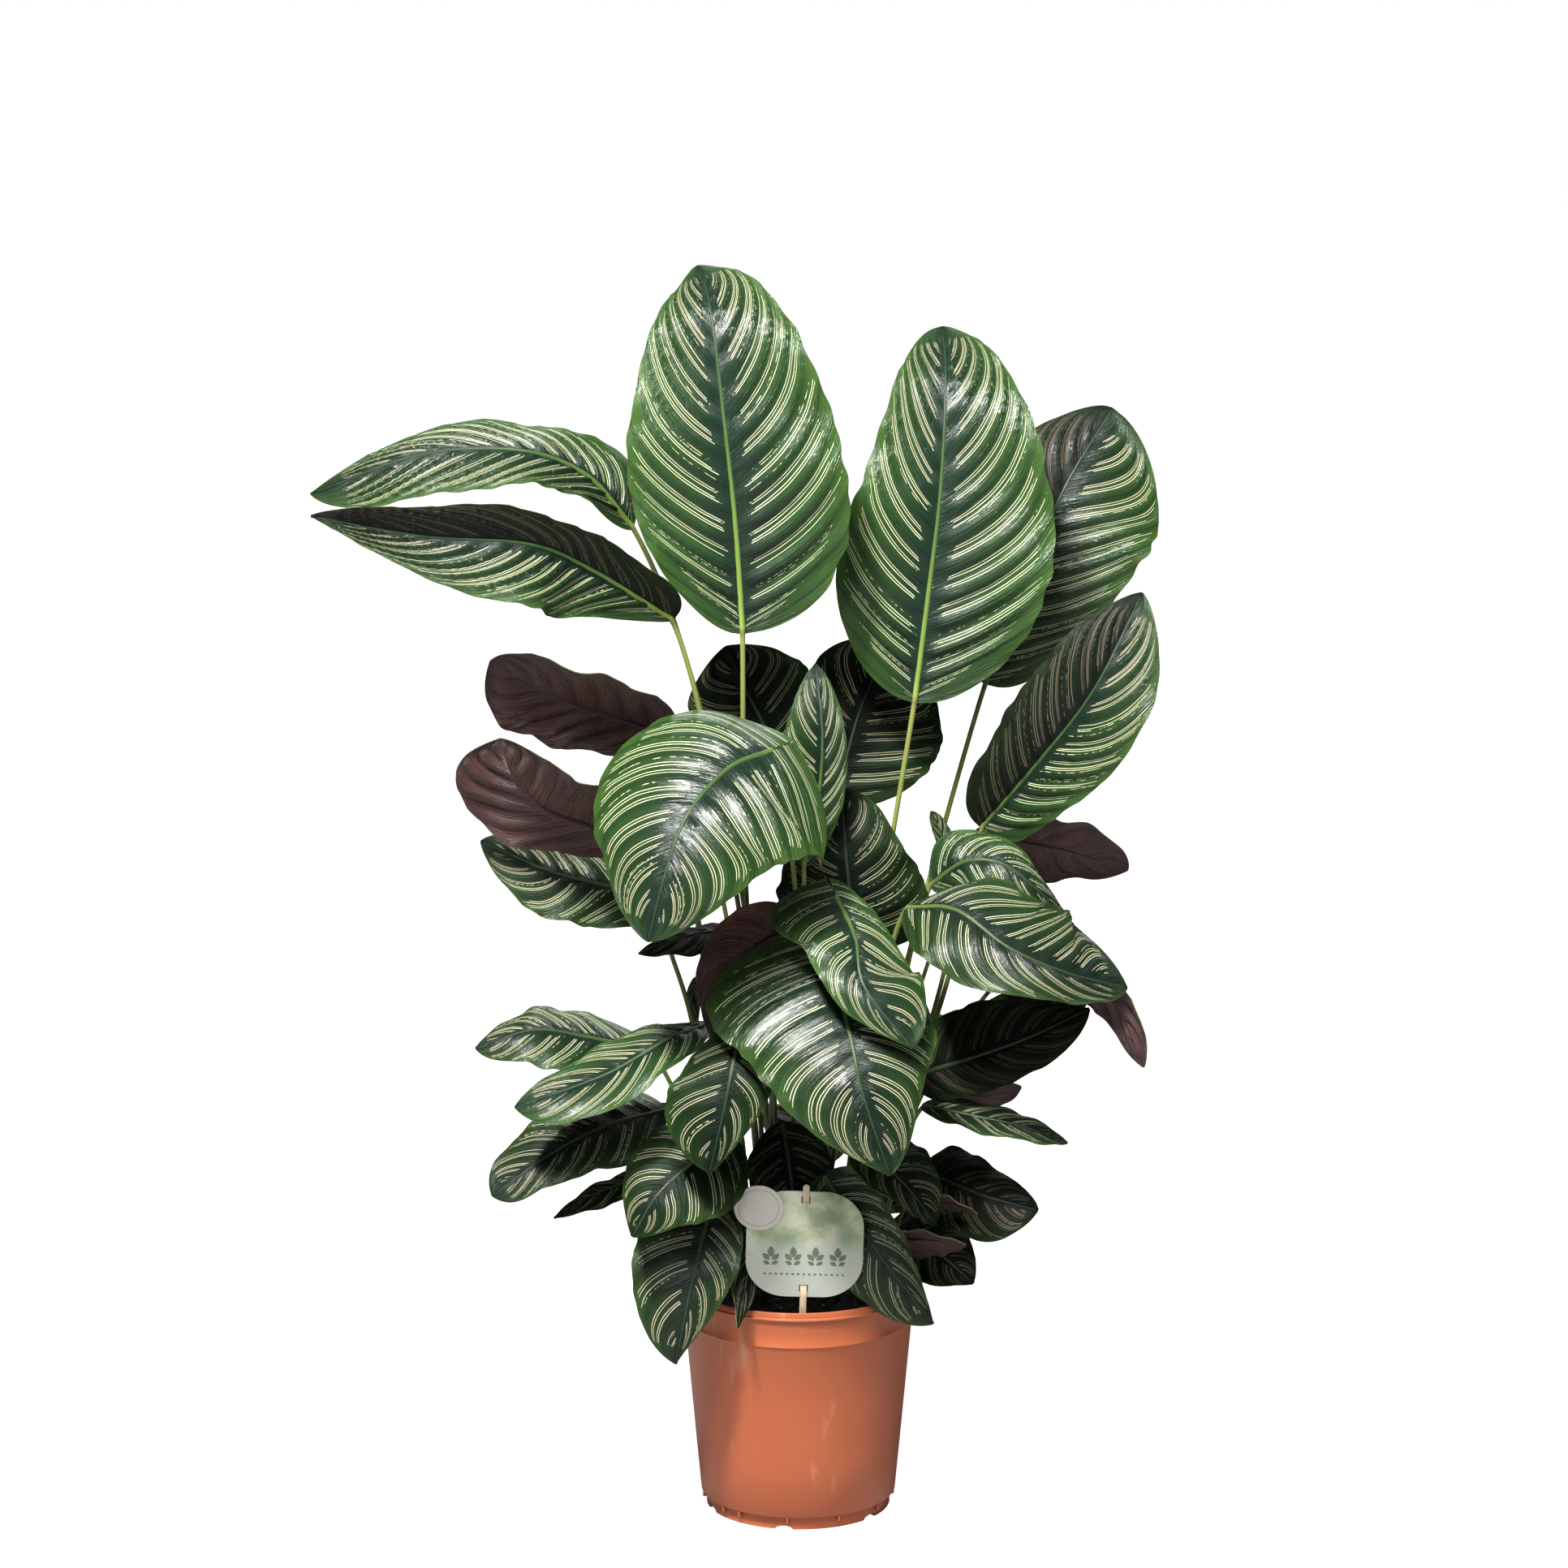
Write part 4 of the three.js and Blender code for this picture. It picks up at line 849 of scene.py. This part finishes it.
def four_maps(thing):
    layers = thing.data.uv_layers
    layers[0].name = "plain"
    for name in ("veins", "span", "shade"):
        layers.new(name=name)
    return [layers[name] for name in ("plain", "veins", "span", "shade")]


def leaf_blade(leaf):
    rows = leaf["veins"] * (9 if leaf["large"] else 8)
    half_cells = 17 if leaf["large"] else 12
    bpy.ops.mesh.primitive_grid_add(x_subdivisions=2 * half_cells, y_subdivisions=rows, size=2)
    blade = bpy.context.object
    default, veins, span, shade = four_maps(blade)
    flat = [(point.co.x, point.co.y / 2 + 0.5) for point in blade.data.vertices]
    shares = []
    for across, rise in flat:
        t = 0.6 * rise + 0.4 * (1 - math.cos(math.pi * rise)) / 2
        shares.append((across, t))
    for face in blade.data.polygons:
        middle = sum(shares[i][0] for i in face.vertices)
        hand = 1 if middle > 0 else -1
        for loop in face.loop_indices:
            across, t = shares[blade.data.loops[loop].vertex_index]
            start, phase = vein_place(leaf, t, hand * max(abs(across), 1e-6))
            default.data[loop].uv = (across, t)
            veins.data[loop].uv = (abs(across), phase)
            span.data[loop].uv = (start + max(0, leaf["lobe"] - 6) / 40, t)
            shade.data[loop].uv = (leaf["darks"][hand > 0], leaf["tone"])
    for point, (across, t) in zip(blade.data.vertices, shares):
        point.co = blade_point(leaf, t, across) * MM
    # Leaves mostly in shade take the shaded copy of the upper side.
    for finish in (leaf_upper_in_shade if min(leaf["darks"]) > 0.5 else leaf_upper, leaf_under, leaf_margin):
        blade.data.materials.append(finish)
    apply_modifier(blade, "SOLIDIFY", thickness=BLADE_THICK * MM, offset=-1, use_even_offset=False,
                   material_offset=1, material_offset_rim=2)
    return blade


def leaf_stalk(leaf):
    x, y = leaf["root"]
    base, along = curve_at(leaf["rib_points"], 0, 0)
    path = [Vector((x, y, STALK_FOOT)), Vector((x, y, STALK_NECK))]
    path += [Vector(point) for point in leaf["via"]]
    path += [base, base + along * 14]
    stalk_share = (len(path) - 2) / (len(path) - 1)
    steps = []
    for i in range(STALK_STEPS + 1):
        share = i / STALK_STEPS
        point, slope = curve_at(path, share * stalk_share, 0.5)
        radius = 4.0 - 1.7 * soften(share, 0.0, 0.3)
        radius += 0.3 * soften(share, 0.97, 1.0)
        steps.append((point, slope, radius * leaf["girth"], share, None))
    for i in range(1, RIB_STEPS + 1):
        t = i / RIB_STEPS
        middle, slope, up = rib_surface(leaf, t * 0.985)
        radius = (2.6 * (1 - t) ** 0.8 + 0.35) * leaf["girth"]
        sunk = 1.1 * (1 - t) + 0.12
        middle = middle - up * min(sunk, radius * 0.8) * leaf["girth"]
        steps.append((middle, slope, radius, 1 + t, up))
    around = 12
    bpy.ops.mesh.primitive_grid_add(x_subdivisions=around, y_subdivisions=len(steps) - 1, size=2)
    stalk = bpy.context.object
    default, veins, span, shade = four_maps(stalk)
    side = Vector((1, 0, 0))
    rings = []
    for point, slope, radius, share, up in steps:
        side = (side - slope * side.dot(slope)).normalized()
        rings.append((point, side.copy(), slope.cross(side), radius, share, up))
    flat = [(round((point.co.x + 1) / 2 * around), round((point.co.y + 1) / 2 * (len(steps) - 1)))
            for point in stalk.data.vertices]
    for loop in stalk.data.loops:
        i, j = flat[loop.vertex_index]
        angle = 2 * math.pi * i / around
        above = 1
        if rings[j][5] is not None:
            outward = rings[j][1] * math.cos(angle) - rings[j][2] * math.sin(angle)
            above = outward.dot(rings[j][5]) * 0.5 + 0.5
        default.data[loop.index].uv = (i / around, rings[j][4])
        veins.data[loop.index].uv = (i / around, rings[j][4])
        span.data[loop.index].uv = (above, rings[j][4])
        shade.data[loop.index].uv = (min(leaf["darks"]), leaf["lime"])
    for point, (i, j) in zip(stalk.data.vertices, flat):
        middle, out, over, radius, share, up = rings[j]
        angle = 2 * math.pi * i / around
        point.co = (middle + (out * math.cos(angle) - over * math.sin(angle)) * radius) * MM
    edit_all()
    bpy.ops.mesh.remove_doubles(threshold=0.000001)
    bpy.ops.mesh.fill_holes(sides=0)
    face_outwards()
    stalk.data.materials.append(leaf_stalk_finish)
    return stalk


def uv_pair(name):
    place = node("UVMap")
    place.uv_map = name
    parts = node("SeparateXYZ")
    tree.links.new(place.outputs["UV"], parts.inputs[0])
    return place.outputs["UV"], parts.outputs[0], parts.outputs[1]


def chance(value, channel):
    made = node("TexWhiteNoise")
    made.noise_dimensions = "1D"
    tree.links.new(value, made.inputs["W"])
    parts = node("SeparateColor")
    tree.links.new(made.outputs["Color"], parts.inputs[0])
    return parts.outputs[channel]


def hairlines(reach, phase, veins_uv, start, t):
    """How much of a cream line lies at a place: two close pairs between two veins, and a rare third."""
    group = sums("FLOOR", phase)
    within = sums("FRACT", phase)
    sway = grains(1.0, 2, stretch=(2.5, 0.9, 1), vector=veins_uv)
    within = plus(within, scaled(sway, 0.09, -0.045))
    speckle = grains(1.0, 3, stretch=(55, 14, 1), vector=veins_uv)
    breaks = grains(1.0, 2, stretch=(20, 11, 1), vector=veins_uv)
    whole = None
    for number, (centre, spread, share) in enumerate(((0.35, 0.053, 0.97), (0.65, 0.053, 0.97),
                                                      (0.13, 0.030, 0.12))):
        pair = scaled(group, 7.0, number + 0.5)
        jitter = chance(pair, 0)
        from_centre = minus(within, scaled(jitter, 0.05, centre - 0.025))
        open_up = times(fade(reach, 0.10, 0.4), spread * 0.30)
        spacing = plus(open_up, spread * 0.70)
        side = sums("GREATER_THAN", from_centre, 0.0)
        line = scaled(pair, 2.0, plus(side, 0.25))
        luck = chance(line, 0)
        other = chance(line, 1)
        third = chance(line, 2)
        gap = sums("ABSOLUTE", minus(sums("ABSOLUTE", from_centre), spacing))
        thick = scaled(other, 0.006, 0.0125)
        thick = times(thick, scaled(speckle, 0.5, 0.75))
        core = minus(1.0, fade(sums("DIVIDE", gap, thick), 0.8, 1.2))
        begin = scaled(luck, 0.08, 0.11)
        finish = scaled(third, -0.12, 0.95)
        finish = sums("MINIMUM", finish, scaled(start, 3.0, 0.62))
        rough = scaled(speckle, 0.16, -0.08)
        rough_reach = plus(reach, rough)
        here = times(sums("GREATER_THAN", rough_reach, begin),
                     sums("LESS_THAN", rough_reach, finish))
        kept = sums("LESS_THAN", other, share)
        broken = sums("GREATER_THAN", luck, 0.90 if number < 2 else 0.15)
        dash = sums("LESS_THAN", breaks, 0.52)
        kept = times(kept, minus(1.0, times(broken, dash)))
        drawn = times(core, times(here, kept))
        whole = drawn if whole is None else sums("MAXIMUM", whole, drawn)
    last = scaled(speckle, 0.05, 0.90)
    return times(whole, sums("LESS_THAN", t, last))


leaf_upper, tree, shader = finish_nodes("pinstriped_upper_side", 0.3)
veins_uv, reach, phase = uv_pair("veins")
_, start, t = uv_pair("span")
lines = hairlines(reach, phase, veins_uv, start, t)
ground = colour_steps(reach, [(0.0, (0.009, 0.023, 0.013)), (0.14, (0.011, 0.028, 0.015)),
                              (0.35, (0.018, 0.046, 0.015)), (0.80, (0.030, 0.076, 0.018)),
                              (0.92, (0.040, 0.096, 0.020)), (1.0, (0.052, 0.113, 0.023))])
patch = grains(14, 3)
# Painted shade: the ground is darker along the furrow beside each vein.
to_vein = sums("PINGPONG", plus(phase, 0.10), 0.5)
painted_furrow_shade = minus(1.0, fade(to_vein, 0.02, 0.20))
ground = blended(times(painted_furrow_shade, 0.45), ground, (0.009, 0.022, 0.012))
fine = grains(1.0, 3, stretch=(9, 45, 1), vector=veins_uv)
_, dark, tone = uv_pair("shade")
# Painted shade: leaves and leaf halves with a higher dark get a darker ground colour.
tone = times(tone, scaled(dark, -0.8, 1.0))
tone = times(tone, scaled(patch, 0.5, 0.75))
tone = times(tone, scaled(fine, 0.3, 0.85))
shade = node("HueSaturation")
tree.links.new(ground, shade.inputs["Color"])
tree.links.new(tone, shade.inputs["Value"])
ripe = scaled(minus(reach, 0.2), -0.10, 0.19)
blush = plus(ripe, t)
cream = colour_steps(blush, [(0.40, (0.70, 0.74, 0.46)), (1.15, (0.74, 0.66, 0.45))])
fleck = grains(900, 2)
cream = blended(times(fleck, 0.2), cream, (0.40, 0.46, 0.28))
# Painted shade: on leaves in shade the cream lines turn dark brown.
cream = blended(sums("POWER", dark, 3), cream, (0.11, 0.060, 0.042))
colour = blended(lines, shade.outputs["Color"], cream)
painted(colour)
skin = grains(560, 3)
gloss = scaled(skin, 0.26, scaled(dark, 0.32, 0.09))
tree.links.new(gloss, shader.inputs["Roughness"])
level("Coat Weight", 0.05)
level("Coat Roughness", 0.15)
level("Specular IOR Level", 0.38)
cuticle = bumps(skin, 0.00016, 0.8)
side_veins = grains(1.0, 4, stretch=(4.0, 11, 1), vector=veins_uv)
from_vein = sums("ABSOLUTE", minus(sums("FRACT", phase), 0.045))
crease = fade(from_vein, 0.0, 0.028)
relief = scaled(crease, 0.7, times(side_veins, 1.5))
bumps(relief, 0.0009, 0.9, below=cuticle)
# Shaded copy of the upper side: leaves mostly in shade get it, with weak specular and no coat.
leaf_upper_in_shade = leaf_upper.copy()
leaf_upper_in_shade.name = "shaded_upper_side"
leaf_upper_in_shade.node_tree.nodes[shader.name].inputs["Specular IOR Level"].default_value = 0.12
leaf_upper_in_shade.node_tree.nodes[shader.name].inputs["Coat Weight"].default_value = 0

leaf_under, tree, shader = finish_nodes("purple_brown_underside", 0.5)
veins_uv, reach, phase = uv_pair("veins")
_, start, t = uv_pair("span")
lines = hairlines(reach, phase, veins_uv, start, t)
patch = grains(16, 3)
colour = colour_steps(patch, [(0.3, (0.062, 0.024, 0.022)), (0.7, (0.150, 0.060, 0.053))])
ridge = sums("ABSOLUTE", sums("SINE", times(phase, math.pi)))
rib_line = minus(1.0, fade(ridge, 0.0, 0.09))
colour = blended(times(rib_line, 0.75), colour, (0.022, 0.009, 0.009))
colour = blended(times(lines, 0.25), colour, (0.14, 0.070, 0.060))
painted(colour)
fine = grains(1.0, 2, stretch=(2, 13, 1), vector=veins_uv)
threads = sums("SINE", times(phase, 24 * math.pi))
relief = scaled(threads, 0.10, fine)
relief = scaled(rib_line, 0.8, relief)
tree.links.new(scaled(fine, 0.25, 0.30), shader.inputs["Roughness"])
bumps(relief, 0.0042, 1.0)
level("Sheen Weight", 0.15)
level("Sheen Roughness", 0.4)

leaf_margin, tree, shader = finish_nodes("leaf_margin", 0.45)
spots = grains(90, 2)
colour = colour_steps(spots, [(0.3, (0.16, 0.19, 0.07)), (0.7, (0.26, 0.24, 0.12))])
painted(colour)
bumps(spots, 0.0003)

leaf_stalk_finish, tree, shader = finish_nodes("stalk_and_midrib", 0.34)
stalk_uv, _, rise = uv_pair("veins")
share = times(rise, 0.5)
colour = colour_steps(share, [
    (0.0, (0.10, 0.035, 0.02)), (0.06, (0.11, 0.10, 0.03)), (0.22, (0.13, 0.18, 0.04)),
    (0.40, (0.27, 0.32, 0.075)), (0.486, (0.34, 0.38, 0.10)), (0.494, (0.24, 0.19, 0.10)),
    (0.50, (0.33, 0.48, 0.085)), (0.58, (0.22, 0.37, 0.07)), (0.72, (0.085, 0.17, 0.04)),
    (0.86, (0.025, 0.060, 0.025)), (1.0, (0.015, 0.04, 0.02))])
streak = grains(1.0, 3, stretch=(9, 3, 1), vector=stalk_uv)
colour = blended(fade(streak, 0.55, 0.8), colour, (0.09, 0.13, 0.035))
_, above, along = uv_pair("span")
_, dark, lime = uv_pair("shade")
plain_rib = times(fade(share, 0.49, 0.51), minus(1.0, lime))
colour = blended(plain_rib, colour, (0.040, 0.085, 0.028))
# Painted shade: stalks and midribs of leaves in shade are darker.
colour = blended(times(dark, 0.75), colour, (0.016, 0.016, 0.008))
colour = blended(fade(above, 0.58, 0.46), colour, (0.050, 0.020, 0.020))
painted(colour)
ridges = grains(1.0, 2, stretch=(40, 1.2, 1), vector=stalk_uv)
bumps(ridges, 0.0003)
level("Subsurface Weight", 0.08)
level("Subsurface Radius", (0.002, 0.003, 0.001))

random.seed(23)
for number, leaf in enumerate(LEAVES):
    leaf["seed"] = number
    length = sum((q - p).length for p, q in zip(leaf["rib_points"], leaf["rib_points"][1:]))
    leaf["length"] = length
    leaf["size"] = min(1.2, length / 300)
    leaf["large"] = length > 200
    leaf["veins"] = min(15, max(6, round(length / 24)))
    leaf["girth"] = 0.75 + 0.25 * min(1, length / 250)
    leaf["pleat"] = 6 if "underside" in leaf["name"] else 4.4
    leaf["tone"] = 0.85 + 0.3 * random.random()
    blade = leaf_blade(leaf)
    stalk = leaf_stalk(leaf)
    joined([stalk, blade], blade, "striped_" + leaf["name"])
    for point in blade.data.vertices:
        for axis in range(3):
            point.co[axis] = min(max(point.co[axis], cad_box[0][axis]), cad_box[1][axis])
    smoothed(blade, 48)
    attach(blade, "root")
    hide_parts(leaf["name"])
